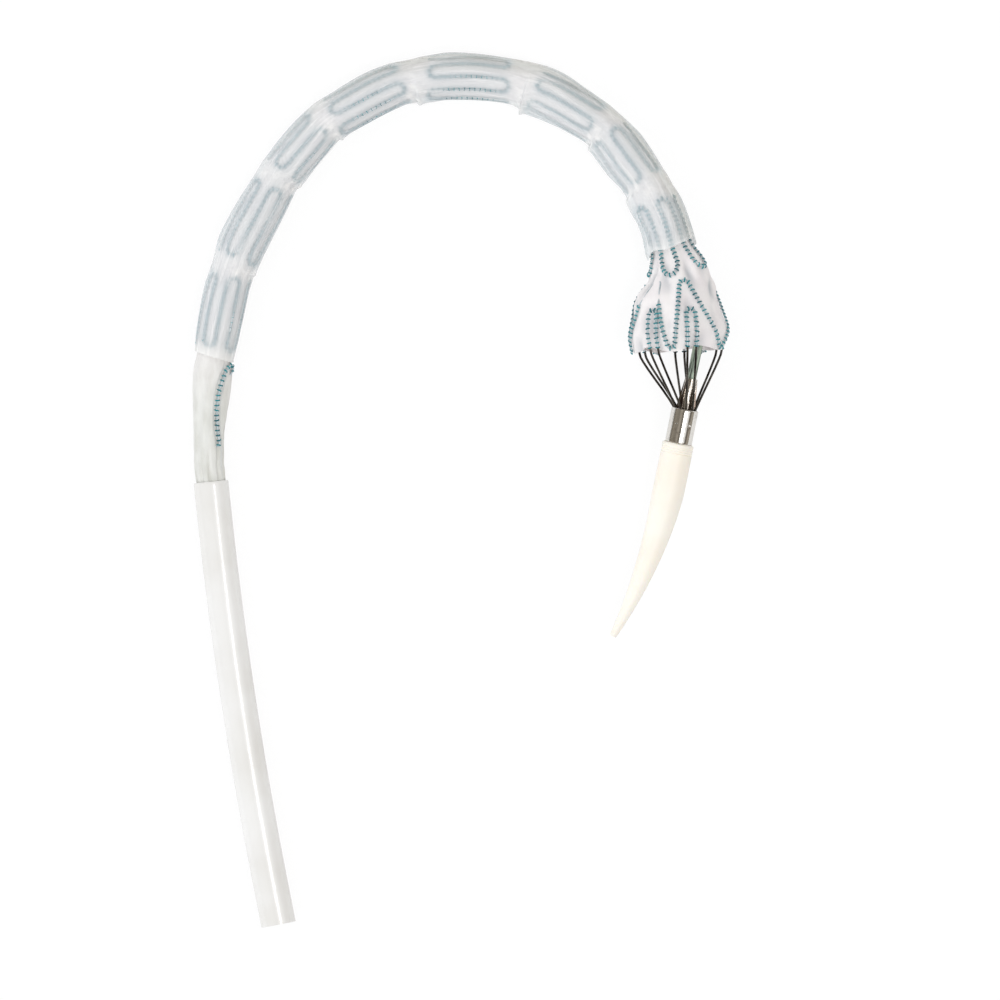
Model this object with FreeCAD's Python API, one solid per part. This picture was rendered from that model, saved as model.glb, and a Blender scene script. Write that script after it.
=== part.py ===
import FreeCAD, Part

import math
import os

from FreeCAD import Vector

# A thoracic stent graft on the front of its delivery catheter, lying in an arch on a table.
# The graft's axis starts at the flared front hem and runs back round the arch into the sheath.
# Lengths are millimetres and angles degrees. Headings are seen from above, 0 along +X.
# An angle round a tube is 0 at the right of somebody looking back along the axis, and 90 on top.

# Path of the graft's axis, one line for each stiff row: length, heading, and the share of the
# hem's extra height that is left at the row's far end
RISING_ROWS = (
    (18.2, 92.2, 0.88),
    (19.3, 111.3, 0.54),
    (16.9, 123.9, 0.20),
    (20.8, 152.3, 0.0),
    (26.0, 177.0, 0.0),
    (22.1, 205.2, 0.0),
    (16.5, 230.1, 0.0),
    (23.9, 243.7, 0.0),
)
# The same behind the arch, with the share of the step in height between sleeve and sheath
SINKING_ROWS = (
    (20.2, 257.9, 1.0),
    (18.4, 266.3, 0.3),
    (6.6, 270.0, 0.0),
    (4.0, 275.7, 0.0),
)
ROW_BEND_RADIUS = 12.0

# Outer sheath: a 24 French tube with a gentle bend and a straight stretch at its cut end
SHEATH_RADIUS = 4.0
SHEATH_WALL = 0.45
SHEATH_BEND_RADIUS = 980.0
SHEATH_ARC_LENGTH = 95.0
SHEATH_STRAIGHT_LENGTH = 8.0
SHEATH_LIP_CHAMFER = 0.2

# Inner shaft and the tube for the guidewire
SHAFT_RADIUS = 1.1
SHAFT_BORE_RADIUS = 0.8
SHAFT_BEND_RADIUS = 20.0
SHAFT_SIDES = 12
TUBE_STEP = 16.0
SHAFT_STARTS_BEHIND_CAPSULE = 1.0
SHAFT_STRAIGHT_BEHIND_HEM = 4.6
# Distance behind the flare and offset from the graft's axis, at two places
SHAFT_IN_NECK = (0.5, 2.6)
SHAFT_IN_SECOND_ROW = (11.0, 0.6)
GUIDE_TUBE_RADIUS = 0.75
GUIDEWIRE_LUMEN_RADIUS = 0.5
GUIDE_TUBE_OVERLAP = 3.0
RUNNING_CLEARANCE = 0.05
BONDED_CLEARANCE = 0.03

# Pusher tube behind the graft
PUSHER_CLEARANCE = 0.35
PUSHER_BORE_CLEARANCE = 0.12
PUSHER_GAP = 0.3
PUSHER_SIDES = 24

# Woven graft
FABRIC_WALL = 0.25
RESTING_CLEARANCE = 0.05
GRAFT_RADIUS = 4.25
GRAFT_KINK_RADIUS = 4.0
HALF_KINK = 3.0
GRAFT_SLEEVE_MOUTH_RADIUS = 4.4
GRAFT_IN_SHEATH = 22.0
GRAFT_IN_SHEATH_RADIUS = 2.62
# Distance back from the hem line, and outer radius, down the flare
FLARE_PROFILE = (
    (0.0, 10.9),
    (2.5, 11.6),
    (5.3, 11.4),
    (8.0, 10.6),
    (11.0, 9.4),
    (14.4, 7.6),
)
FLARE_NECK_RADIUS = 5.7
HEM_MEAN_SETBACK = -0.6
HEM_LOBE = 1.2
HEM_LOBE_ANGLE = 101.0
HEM_FADE_LENGTH = 4.0
FOLD_COUNT = 10
FOLD_DEPTH = 0.85
FOLD_DEPTH_IN_SHEATH = 0.6
FOLD_WIDTH_SHARE = 0.67
FOLD_START = 3.0
NARROWS_BEFORE_MOUTH = 4.0
NARROWS_AFTER_MOUTH = 1.0
FOLDED_RADIUS_AT_SLEEVE = 4.35
FOLDED_RADIUS_AT_WAIST = 3.2
GRAFT_SIDES = 30

# Film sleeve that holds the rows closed
SLEEVE_WALL = 0.2
SLEEVE_RADIUS = 5.2
SLEEVE_KINK_RADIUS = 4.9
SLEEVE_MOUTH_RADIUS = 5.45
SLEEVE_MOUTH_TAPER = 4.5
SLEEVE_END_RADIUS = 4.7
SLEEVE_START_BEHIND_FLARE = 3.9
SLEEVE_PAST_LAST_KINK = 0.6
SLEEVE_SIDES = 32

# Stent rings
WIRE_RADIUS = 0.25
WIRE_SIDES = 6
WIRE_GAP = 0.13
PEAKS = 5
STENT_PHASE = 105.0
CLOSED_STENT_LENGTHS = (13.2, 15.6, 18.4, 17.6, 13.2, 18.2, 16.6)
SECOND_STENT_START = -0.9
SECOND_STENT_LENGTH = 16.4
FLARE_STENT_START = -0.9
FLARE_STENT_LENGTH = 15.8
FLARE_STENT_FRONT_PEAKS = (33.0, 101.0, 177.0, 242.0, 298.0)
FLARE_STENT_REAR_PEAKS = (80.0, 129.0, 216.0, 270.0, 326.0)
FLARE_FRONT_HALF_ANGLE = 4.6
FLARE_REAR_HALF_ANGLE = 8.0
FOLDED_STENT_START = 1.8
FOLDED_STENT_LENGTH = 19.0
SHEATHED_STENT_START = 3.0
SHEATHED_STENT_LENGTH = 16.0

# Bare spring in front of the cloth
BARE_WIRE_RADIUS = 0.275
BARE_WIRE_GAP = 0.1
BARE_APEX_ANGLES = (76.0, 123.0, 218.0, 270.0, 325.0)
BARE_APEX_HALF_ANGLE = 5.5
BARE_APEX_SETBACK = 8.2
BARE_WIRE_LEAVES_CLOTH = -2.6

# Front of the catheter: its axis passes the hem line beside the graft's axis
FRONT_OFFSET = 4.1
FRONT_HEADING = 258.6
FRONT_DROOP = 3.5
FRONT_REACH = 22.6
CAPSULE_RADIUS = 3.1
CAPSULE_WALL = 0.3
CAPSULE_LENGTH = 8.0
CAPSULE_HOLE_RADIUS = 0.32
CAPSULE_HOLE_COUNT = 6
CAPSULE_HOLE_SETBACK = 4.5
CAPSULE_HOLE_ANGLE = 57.0
CAPSULE_CLEARANCE = 0.35
SPIGOT_LENGTH = 3.0
TIP_TRAVEL = 10.0

HUB_LENGTH = 11.6
HUB_FRONT_GAP = 0.5
HUB_CORE_RADIUS = 1.45
HUB_FIN_THICKNESS = 0.4
HUB_ROOT_OVERLAP = 0.2
HUB_FIN_TAPER = 8.6
SLOT_ANGLE = 95
PEG_RADIUS = 0.22
PEG_SETBACK = 4.7
HOOK_RADIUS = 0.52
HOOK_WIRE_RADIUS_OFF_AXIS = 2.15
WIRE_ENTRY_SETBACK = 7.9

NOSE_RADIUS = 3.65
NOSE_TIP_RADIUS = 0.8
NOSE_LENGTH = 47.2
NOSE_STRAIGHT_BASE = 9.0
NOSE_STRAIGHT_TIP = 3.2
NOSE_TURN = 16.6
NOSE_BARREL_LENGTH = 12.0
NOSE_TAPER_POWER = 1.2
NOSE_BASE_CHAMFER = 0.45
NOSE_GROOVE_SETBACK = 2.3
NOSE_GROOVE_DEPTH = 0.2
NOSE_TIP_ROUND = 0.15
NOSE_STEPS = 9
NOSE_SIDES = 28
GUIDE_TUBE_IN_NOSE = 8.0

UP = Vector(0, 0, 1)
LOWEST = -90.0
HALF_TURN = (0.0, 60.0, 120.0, 180.0)


def rad(angle):
    return math.radians(angle)


def direction(heading, climb=0.0):
    flat = math.cos(rad(climb))
    return Vector(flat * math.cos(rad(heading)), flat * math.sin(rad(heading)), math.sin(rad(climb)))


def unit(vector):
    return Vector(vector).normalize()


def turned(vector, axis, angle):
    """vector turned about axis by angle, in radians."""
    side = axis.cross(vector)
    along = axis * vector.dot(axis)
    return along + (vector - along) * math.cos(angle) + side * math.sin(angle)


class Route:
    """Straight runs joined by tangent arcs, with a point and a frame at each distance."""

    def __init__(self, nodes, bend_radius):
        self.pieces = []
        self.corners = []
        self.length = 0.0
        start = nodes[0]
        for before, node, after in zip(nodes, nodes[1:], nodes[2:]):
            coming = unit(node - before)
            going = unit(after - node)
            turn = coming.getAngle(going)
            trim = bend_radius * math.tan(turn / 2)
            self.add_run(start, node - coming * trim)
            self.corners.append(self.length + bend_radius * turn / 2)
            self.add_arc(coming, unit(coming.cross(going)), bend_radius, turn)
            start = node + going * trim
        self.add_run(start, nodes[-1])

    def add_run(self, start, end):
        length = (end - start).Length
        self.pieces.append(("run", self.length, length, start, unit(end - start)))
        self.length += length

    def add_arc(self, tangent, axis, radius, turn):
        start = self.end_point()
        centre = start + axis.cross(tangent) * radius
        self.pieces.append(("arc", self.length, radius * turn, centre, start - centre, axis, radius))
        self.length += radius * turn

    def end_point(self):
        return self.at(self.length)[0]

    def at(self, distance):
        """Point and tangent, going straight on past both ends."""
        piece = self.pieces[0]
        for candidate in self.pieces:
            if candidate[1] <= distance:
                piece = candidate
        past = distance - piece[1]
        if piece[0] == "run":
            return piece[3] + piece[4] * past, piece[4]
        spoke = turned(piece[4], piece[5], past / piece[6])
        return piece[3] + spoke, unit(piece[5].cross(spoke))

    def point(self, distance, angle, radius):
        centre, tangent = self.at(distance)
        return centre + spoke_of(tangent, angle) * radius


def spoke_of(tangent, angle):
    """Direction outwards from an axis, at an angle round it."""
    right = unit(tangent.cross(UP))
    return right * math.cos(rad(angle)) + right.cross(tangent) * math.sin(rad(angle))


def between(table, distance):
    """Straight-line value in a table of (distance, value, value...), also before its first entry."""
    for low, high in zip(table, table[1:]):
        if distance <= high[0]:
            share = (distance - low[0]) / (high[0] - low[0])
            return tuple(a + (b - a) * share for a, b in zip(low[1:], high[1:]))
    return table[-1][1:]


def solid_of_rings(rings, capped=False):
    """Closed skin over equal rings of points, each joined to the next, in a loop or with flat ends."""
    count = len(rings[0])
    points = [point for ring in rings for point in ring]
    facets = []
    if capped:
        last = len(points) - count
        for side in range(1, count - 1):
            facets += [(0, side, side + 1), (last, last + side + 1, last + side)]
    for index in range(len(rings) - 1 if capped else len(rings)):
        here = index * count
        there = ((index + 1) % len(rings)) * count
        for side in range(count):
            beside = (side + 1) % count
            facets.append((here + side, there + side, there + beside))
            facets.append((here + side, there + beside, here + beside))
    volume = sum(points[a].dot(points[b].cross(points[c])) for a, b, c in facets)
    if volume < 0:
        facets = [(a, c, b) for a, b, c in facets]
    skin = Part.Shape()
    skin.makeShapeFromMesh((points, facets), 0.0001, True)
    return Part.Solid(skin.Shells[0])


def skin_tube(route, outer, inner, sides):
    """Tube, or rod where inner is empty, through (distance, radius) sections from front to back."""
    angles = [360.0 * side / sides for side in range(sides)]
    rings = []
    for distance, radius in outer + inner[::-1]:
        rings.append([route.point(distance, angle, radius) for angle in angles])
    return solid_of_rings(rings, not inner)


def wire_ring(path, radius):
    """Closed wire through (point, outward direction) pairs, mitred at each point."""
    rings = []
    for index, (point, outward) in enumerate(path):
        coming = unit(point - path[index - 1][0])
        going = unit(path[(index + 1) % len(path)][0] - point)
        forward = unit(coming + going)
        across = going - coming
        stretch = 1 / math.cos(coming.getAngle(going) / 2) - 1
        if across.Length > 1e-9:
            across.normalize()
        first = unit(outward - forward * outward.dot(forward))
        second = forward.cross(first)
        ring = []
        for side in range(WIRE_SIDES):
            turn = 2 * math.pi * side / WIRE_SIDES
            arm = (first * math.cos(turn) + second * math.sin(turn)) * radius
            ring.append(point + arm + across * (arm.dot(across) * stretch))
        rings.append(ring)
    return solid_of_rings(rings)


def ring_face(outer, inner, centre, axis):
    """Flat face between two circles, or a disc where inner is 0."""
    faces = [Part.Face(Part.Wire(Part.makeCircle(radius, centre, axis))) for radius in (outer, inner) if radius]
    return faces[0].cut(faces[1]).Faces[0] if inner else faces[0]


def round_tube(route, outer, inner, begin, end):
    """Exact tube on a route, one solid for each run and arc, fused where they meet."""
    made = []
    for piece in route.pieces:
        low, high = max(begin, piece[1]), min(end, piece[1] + piece[2])
        if high - low > 1e-6:
            centre, tangent = route.at(low + 1e-9)
            face = ring_face(outer, inner, centre, tangent)
            if piece[0] == "run":
                made.append(face.extrude(tangent * (high - low)))
            else:
                made.append(face.revolve(piece[3], piece[5], math.degrees((high - low) / piece[6])))
    return made[0].fuse(made[1:]) if len(made) > 1 else made[0]


def stations_between(route, begin, end):
    """Distances where a skin on a route needs a section."""
    stations = [begin]
    for piece in route.pieces:
        low, high = max(begin, piece[1]), min(end, piece[1] + piece[2])
        if high - low > 1e-6:
            steps = max(1, round((high - low) / TUBE_STEP)) if piece[0] == "arc" else 1
            stations += [low + (high - low) * (step + 1) / steps for step in range(steps)]
    return stations


def plain_tube(route, outer, inner, begin, end, sides):
    stations = stations_between(route, begin, end)
    profiles = [[(place, radius) for place in stations] for radius in (outer, inner)]
    return skin_tube(route, profiles[0], profiles[1], sides)


# Axis of the graft
HEM_HEIGHT = FLARE_PROFILE[1][1] + BARE_WIRE_GAP + 2 * BARE_WIRE_RADIUS + RESTING_CLEARANCE


def graft_nodes():
    nodes = [Vector(0, 0, HEM_HEIGHT)]
    for rows, low, high in ((RISING_ROWS, SLEEVE_RADIUS, HEM_HEIGHT),
                            (SINKING_ROWS, SHEATH_RADIUS, SLEEVE_RADIUS)):
        for length, heading, share in rows:
            node = nodes[-1] + direction(heading) * length
            node.z = low + (high - low) * share
            nodes.append(node)
    return nodes


NODES = graft_nodes()
AXIS = Route(NODES, ROW_BEND_RADIUS)
MOUTH = AXIS.length
SHEATH_TANGENT = AXIS.at(MOUTH)[1]
AXIS.add_arc(SHEATH_TANGENT, UP, SHEATH_BEND_RADIUS, SHEATH_ARC_LENGTH / SHEATH_BEND_RADIUS)
ARC_END, ARC_END_TANGENT = AXIS.at(AXIS.length)
AXIS.add_run(ARC_END, ARC_END + ARC_END_TANGENT * SHEATH_STRAIGHT_LENGTH)

FLARE_END = AXIS.corners[0]
KINKS = AXIS.corners[1:len(RISING_ROWS) + 1]
LAST_KINK = KINKS[-1]
WAIST = AXIS.corners[len(RISING_ROWS) + 1]

# Axis of the catheter's front, measured forwards from the front edge of the tip capsule
FRONT = direction(FRONT_HEADING, -FRONT_DROOP)
FRONT_START = Vector(FRONT_OFFSET, 0, HEM_HEIGHT)
TIP = FRONT_START + FRONT * FRONT_REACH


def tip_point(setback, angle, radius):
    return TIP - FRONT * setback + spoke_of(FRONT * -1, angle) * radius


def hem_setback(angle):
    wave = math.cos(rad(PEAKS * (angle - HEM_LOBE_ANGLE)))
    return HEM_MEAN_SETBACK - HEM_LOBE * wave


def fabric_table():
    """Distance from the hem, ridge radius and fold depth."""
    table = [(distance, radius, 0.0) for distance, radius in FLARE_PROFILE]
    table.append((FLARE_END, FLARE_NECK_RADIUS, 0.0))
    table.append((FLARE_END + SLEEVE_START_BEHIND_FLARE, GRAFT_SLEEVE_MOUTH_RADIUS, 0.0))
    for kink in KINKS:
        table.append((kink - HALF_KINK, GRAFT_RADIUS, 0.0))
        table.append((kink, GRAFT_KINK_RADIUS, 0.0))
        table.append((kink + HALF_KINK, GRAFT_RADIUS, 0.0))
    table.pop()
    table.append((LAST_KINK + FOLD_START, FOLDED_RADIUS_AT_SLEEVE, FOLD_DEPTH))
    table.append((WAIST, FOLDED_RADIUS_AT_WAIST, FOLD_DEPTH))
    table.append((MOUTH - NARROWS_BEFORE_MOUTH, FOLDED_RADIUS_AT_WAIST, FOLD_DEPTH))
    table.append((MOUTH + NARROWS_AFTER_MOUTH, GRAFT_IN_SHEATH_RADIUS, FOLD_DEPTH_IN_SHEATH))
    table.append((MOUTH + GRAFT_IN_SHEATH, GRAFT_IN_SHEATH_RADIUS, FOLD_DEPTH_IN_SHEATH))
    return table


FABRIC = fabric_table()


def in_fold(angle):
    """1 at the bottom of a fold, 0 on a ridge."""
    pitch = 360.0 / FOLD_COUNT
    place = (angle - LOWEST) % pitch
    return max(0.0, 1 - 2 * min(place, pitch - place) / (pitch * FOLD_WIDTH_SHARE))


def fabric_radius(distance, angle):
    ridge, depth = between(FABRIC, distance)
    return ridge - depth * in_fold(angle)


def fabric_ring(distance, inwards):
    ring = []
    for side in range(GRAFT_SIDES):
        angle = LOWEST + 360.0 * side / GRAFT_SIDES
        fade = max(0.0, 1 - distance / HEM_FADE_LENGTH)
        place = distance + hem_setback(angle) * fade
        ring.append(AXIS.point(place, angle, fabric_radius(place, angle) - inwards))
    return ring


def graft_fabric():
    outer = [entry[0] for entry in FABRIC]
    skipped = [FLARE_PROFILE[3][0]] + [kink - HALF_KINK for kink in KINKS]
    inner = [distance for distance in outer if distance not in skipped]
    rings = [fabric_ring(distance, 0.0) for distance in outer]
    rings += [fabric_ring(distance, FABRIC_WALL) for distance in reversed(inner)]
    return solid_of_rings(rings)


def sleeve_table():
    start = FLARE_END + SLEEVE_START_BEHIND_FLARE
    table = [(start, SLEEVE_MOUTH_RADIUS)]
    table.append((start + SLEEVE_MOUTH_TAPER, (SLEEVE_MOUTH_RADIUS + SLEEVE_RADIUS) / 2))
    for kink in KINKS[:-1]:
        table.append((kink - HALF_KINK, SLEEVE_RADIUS))
        table.append((kink, SLEEVE_KINK_RADIUS))
        table.append((kink + HALF_KINK, SLEEVE_RADIUS))
    table.append((LAST_KINK - HALF_KINK, SLEEVE_RADIUS))
    table.append((LAST_KINK + SLEEVE_PAST_LAST_KINK, SLEEVE_END_RADIUS))
    return table


def film_sleeve():
    table = sleeve_table()
    rings = []
    for inwards, entries in ((0.0, table), (SLEEVE_WALL, table[::-1])):
        for distance, radius in entries:
            angles = [LOWEST + 360.0 * side / SLEEVE_SIDES for side in range(SLEEVE_SIDES)]
            rings.append([AXIS.point(distance, angle, radius - inwards) for angle in angles])
    return solid_of_rings(rings)


def wire_seat(distance):
    """Radius of a stent wire's centre, on the cloth or on the ridges between its folds."""
    return between(FABRIC, distance)[0] + WIRE_GAP + WIRE_RADIUS


def stent_ring(start, length, front_peaks, rear_peaks, half_angles, leg_parts):
    """Closed zigzag of straight legs between rounded peaks."""
    places = []
    for front, rear in zip(front_peaks, rear_peaks):
        for middle, half, end, sense in ((front, half_angles[0], start, -1),
                                         (rear, half_angles[1], start + length, 1)):
            bend = rad(half) * wire_seat(end)
            for turn in HALF_TURN:
                place = end + sense * bend * (math.sin(rad(turn)) - 1)
                places.append((place, middle - half * math.cos(rad(turn))))
    path = []
    for index, (place, angle) in enumerate(places):
        path.append((place, angle))
        after, after_angle = places[(index + 1) % len(places)]
        if (index + 1) % len(HALF_TURN) == 0:
            sweep = (after_angle - angle) % 360.0
            for part in range(1, leg_parts):
                share = part / leg_parts
                path.append((place + (after - place) * share, angle + sweep * share))
    pairs = []
    for place, angle in path:
        spoke = spoke_of(AXIS.at(place)[1], angle)
        pairs.append((AXIS.point(place, angle, wire_seat(place)), spoke))
    return wire_ring(pairs, WIRE_RADIUS)


def even_peaks(first):
    return [first + 360.0 * index / PEAKS for index in range(PEAKS)]


def stent_rings():
    quarter = 90.0 / PEAKS
    halves = (quarter, quarter)
    rings = [stent_ring(FLARE_STENT_START, FLARE_STENT_LENGTH, FLARE_STENT_FRONT_PEAKS,
                        FLARE_STENT_REAR_PEAKS, (FLARE_FRONT_HALF_ANGLE, FLARE_REAR_HALF_ANGLE), 6)]
    front = even_peaks(STENT_PHASE)
    rear = even_peaks(STENT_PHASE + 2 * quarter)
    rings.append(stent_ring(FLARE_END + SECOND_STENT_START, SECOND_STENT_LENGTH, front, rear, halves, 4))
    for begin, end, length in zip(KINKS[:-1], KINKS[1:], CLOSED_STENT_LENGTHS):
        rings.append(stent_ring((begin + end - length) / 2, length, front, rear, halves, 1))
    front = even_peaks(LOWEST)
    rear = even_peaks(LOWEST + 2 * quarter)
    rings.append(stent_ring(LAST_KINK + FOLDED_STENT_START, FOLDED_STENT_LENGTH, front, rear, halves, 4))
    rings.append(stent_ring(MOUTH + SHEATHED_STENT_START, SHEATHED_STENT_LENGTH, front, rear, halves, 1))
    return rings


def bare_spring():
    """Five loops sewn to the cloth, five hooked over the pegs inside the tip capsule."""
    pairs = []
    seat = BARE_WIRE_GAP + BARE_WIRE_RADIUS
    back = FRONT * -1
    for index, apex in enumerate(BARE_APEX_ANGLES):
        bend = rad(BARE_APEX_HALF_ANGLE) * (fabric_radius(BARE_APEX_SETBACK, apex) + seat)
        low, high = apex - BARE_APEX_HALF_ANGLE, apex + BARE_APEX_HALF_ANGLE
        places = [(BARE_WIRE_LEAVES_CLOTH, low), (FLARE_PROFILE[1][0], low), (FLARE_PROFILE[2][0], low)]
        for turn in HALF_TURN:
            angle = apex - BARE_APEX_HALF_ANGLE * math.cos(rad(turn))
            places.append((BARE_APEX_SETBACK + bend * (math.sin(rad(turn)) - 1), angle))
        places += [(FLARE_PROFILE[2][0], high), (FLARE_PROFILE[1][0], high), (BARE_WIRE_LEAVES_CLOTH, high)]
        for place, angle in places:
            spoke = spoke_of(AXIS.at(place)[1], angle)
            pairs.append((AXIS.point(place, angle, fabric_radius(place, angle) + seat), spoke))
        slot = SLOT_ANGLE + 360.0 * index / PEAKS
        spoke = spoke_of(back, slot)
        side = spoke_of(back, slot + 90.0)
        hook = [(WIRE_ENTRY_SETBACK, 0.0)]
        hook += [(PEG_SETBACK - HOOK_RADIUS * math.sin(rad(turn)), turn) for turn in HALF_TURN]
        hook.append((WIRE_ENTRY_SETBACK, 180.0))
        for setback, turn in hook:
            across = side * (-HOOK_RADIUS * math.cos(rad(turn)))
            pairs.append((TIP + back * setback + spoke * HOOK_WIRE_RADIUS_OFF_AXIS + across, spoke))
    return wire_ring(pairs, BARE_WIRE_RADIUS)


def front_tube(outer, inner, setback, length):
    start = TIP - FRONT * setback
    body = Part.makeCylinder(outer, length, start, FRONT)
    return body.cut(Part.makeCylinder(inner, length, start, FRONT)) if inner else body


def tip_capsule():
    body = front_tube(CAPSULE_RADIUS, CAPSULE_RADIUS - CAPSULE_WALL, CAPSULE_LENGTH, CAPSULE_LENGTH)
    for index in range(CAPSULE_HOLE_COUNT):
        spoke = spoke_of(FRONT * -1, CAPSULE_HOLE_ANGLE + 360.0 * index / CAPSULE_HOLE_COUNT)
        start = TIP - FRONT * CAPSULE_HOLE_SETBACK + spoke * (CAPSULE_RADIUS - 2 * CAPSULE_WALL)
        body = body.cut(Part.makeCylinder(CAPSULE_HOLE_RADIUS, 3 * CAPSULE_WALL, start, spoke))
    return body


HUB_SETBACK = SPIGOT_LENGTH + HUB_FRONT_GAP + HUB_LENGTH
SHAFT_END_SETBACK = CAPSULE_LENGTH + SHAFT_STARTS_BEHIND_CAPSULE


def capture_hub():
    """Core on the shaft with five tapering fins, and a peg between each two for the wire."""
    rim = CAPSULE_RADIUS - CAPSULE_WALL - CAPSULE_CLEARANCE
    body = front_tube(HUB_CORE_RADIUS, 0, HUB_SETBACK, HUB_LENGTH)
    back = FRONT * -1
    front_setback = HUB_SETBACK - HUB_LENGTH
    for index in range(PEAKS):
        slot = SLOT_ANGLE + 360.0 * index / PEAKS
        spoke = spoke_of(back, slot + 180.0 / PEAKS)
        side = spoke.cross(back)
        root = HUB_CORE_RADIUS - HUB_ROOT_OVERLAP
        outline = ((front_setback, root), (front_setback, rim), (HUB_SETBACK - HUB_FIN_TAPER, rim),
                   (HUB_SETBACK, HUB_CORE_RADIUS), (HUB_SETBACK, root))
        corner = side * (-HUB_FIN_THICKNESS / 2)
        points = [TIP + back * setback + spoke * radius + corner for setback, radius in outline]
        fin = Part.Face(Part.makePolygon(points + points[:1])).extrude(side * HUB_FIN_THICKNESS)
        peg_spoke = spoke_of(back, slot)
        peg_start = TIP + back * PEG_SETBACK + peg_spoke * root
        peg = Part.makeCylinder(PEG_RADIUS, rim - root, peg_start, peg_spoke)
        body = body.fuse([fin, peg])
    socket = front_tube(SHAFT_RADIUS + BONDED_CLEARANCE, 0, HUB_SETBACK, HUB_SETBACK - SHAFT_END_SETBACK)
    bore = front_tube(GUIDE_TUBE_RADIUS + RUNNING_CLEARANCE, 0, HUB_SETBACK, HUB_LENGTH)
    return body.cut(socket).cut(bore)


def guide_tube():
    tail = SHAFT_END_SETBACK + TIP_TRAVEL + GUIDE_TUBE_OVERLAP
    return front_tube(GUIDE_TUBE_RADIUS, GUIDEWIRE_LUMEN_RADIUS, tail, tail + GUIDE_TUBE_IN_NOSE)


def nose_route():
    """Axis of the nose cone: a straight base, one bend and a short straight tip."""
    bend_length = NOSE_LENGTH - NOSE_STRAIGHT_BASE - NOSE_STRAIGHT_TIP
    route = Route([TIP, TIP + FRONT * NOSE_STRAIGHT_BASE], 1.0)
    axis = unit(FRONT.cross(UP).cross(FRONT)) * -1
    route.add_arc(FRONT, axis, bend_length / rad(NOSE_TURN), rad(NOSE_TURN))
    start, tangent = route.at(route.length)
    route.add_run(start, start + tangent * NOSE_STRAIGHT_TIP)
    return route


NOSE = nose_route()


def nose_radius(distance):
    if distance <= NOSE_BARREL_LENGTH:
        return NOSE_RADIUS
    share = (distance - NOSE_BARREL_LENGTH) / (NOSE_LENGTH - NOSE_BARREL_LENGTH)
    return NOSE_RADIUS - (NOSE_RADIUS - NOSE_TIP_RADIUS) * share ** NOSE_TAPER_POWER


def nose_cone():
    """Spigot for the capsule, barrel and long curved taper, bored for the guidewire."""
    spigot = CAPSULE_RADIUS - CAPSULE_WALL - BONDED_CLEARANCE
    groove = NOSE_GROOVE_SETBACK
    outer = [
        (-SPIGOT_LENGTH, spigot),
        (0.0, spigot),
        (0.0, NOSE_RADIUS - NOSE_BASE_CHAMFER),
        (NOSE_BASE_CHAMFER, NOSE_RADIUS),
        (groove - NOSE_GROOVE_DEPTH, NOSE_RADIUS),
        (groove, NOSE_RADIUS - NOSE_GROOVE_DEPTH),
        (groove + NOSE_GROOVE_DEPTH, NOSE_RADIUS),
        (NOSE_STRAIGHT_BASE, NOSE_RADIUS),
    ]
    taper = NOSE_LENGTH - NOSE_BARREL_LENGTH
    for step in range(NOSE_STEPS + 1):
        distance = NOSE_BARREL_LENGTH + taper * step / NOSE_STEPS
        outer.append((distance, nose_radius(distance)))
    outer[-1] = (NOSE_LENGTH - NOSE_TIP_ROUND, NOSE_TIP_RADIUS)
    outer.append((NOSE_LENGTH, NOSE_TIP_RADIUS - NOSE_TIP_ROUND))
    lumen = round_tube(NOSE, GUIDEWIRE_LUMEN_RADIUS, 0, GUIDE_TUBE_IN_NOSE, NOSE_LENGTH)
    length = SPIGOT_LENGTH + GUIDE_TUBE_IN_NOSE
    socket = front_tube(GUIDE_TUBE_RADIUS + BONDED_CLEARANCE, 0, SPIGOT_LENGTH, length)
    return skin_tube(NOSE, outer, [], NOSE_SIDES).cut(socket).cut(lumen).Solids[0]


def shaft_nodes():
    """Straight out of the hub, along the outer side of the flare, then down the graft's middle."""
    start = TIP - FRONT * SHAFT_END_SETBACK
    in_flare = FRONT_START - FRONT * SHAFT_STRAIGHT_BEHIND_HEM
    in_neck = AXIS.point(FLARE_END + SHAFT_IN_NECK[0], 0.0, SHAFT_IN_NECK[1])
    in_row = AXIS.point(FLARE_END + SHAFT_IN_SECOND_ROW[0], 0.0, SHAFT_IN_SECOND_ROW[1])
    return [start, in_flare, in_neck, in_row] + NODES[2:]


def inner_shaft():
    route = Route(shaft_nodes(), SHAFT_BEND_RADIUS)
    route.add_arc(SHEATH_TANGENT, UP, SHEATH_BEND_RADIUS, SHEATH_ARC_LENGTH / SHEATH_BEND_RADIUS)
    route.add_run(ARC_END, ARC_END + ARC_END_TANGENT * SHEATH_STRAIGHT_LENGTH)
    return plain_tube(route, SHAFT_RADIUS, SHAFT_BORE_RADIUS, 0.0, route.length, SHAFT_SIDES)


def outer_sheath():
    """Tube whose bevelled lip stands in front of its mouth."""
    bore = SHEATH_RADIUS - SHEATH_WALL
    start = NODES[-1] - SHEATH_TANGENT * SHEATH_LIP_CHAMFER
    lip = Part.makeCone(SHEATH_RADIUS - SHEATH_LIP_CHAMFER, SHEATH_RADIUS, SHEATH_LIP_CHAMFER,
                        start, SHEATH_TANGENT)
    lip = lip.cut(Part.makeCylinder(bore, SHEATH_LIP_CHAMFER, start, SHEATH_TANGENT))
    return round_tube(AXIS, SHEATH_RADIUS, bore, MOUTH, AXIS.length).fuse(lip).Solids[0]


def pusher_tube():
    outer = SHEATH_RADIUS - SHEATH_WALL - PUSHER_CLEARANCE
    start = MOUTH + GRAFT_IN_SHEATH + PUSHER_GAP
    return plain_tube(AXIS, outer, SHAFT_RADIUS + PUSHER_BORE_CLEARANCE, start, AXIS.length, PUSHER_SIDES)


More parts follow.
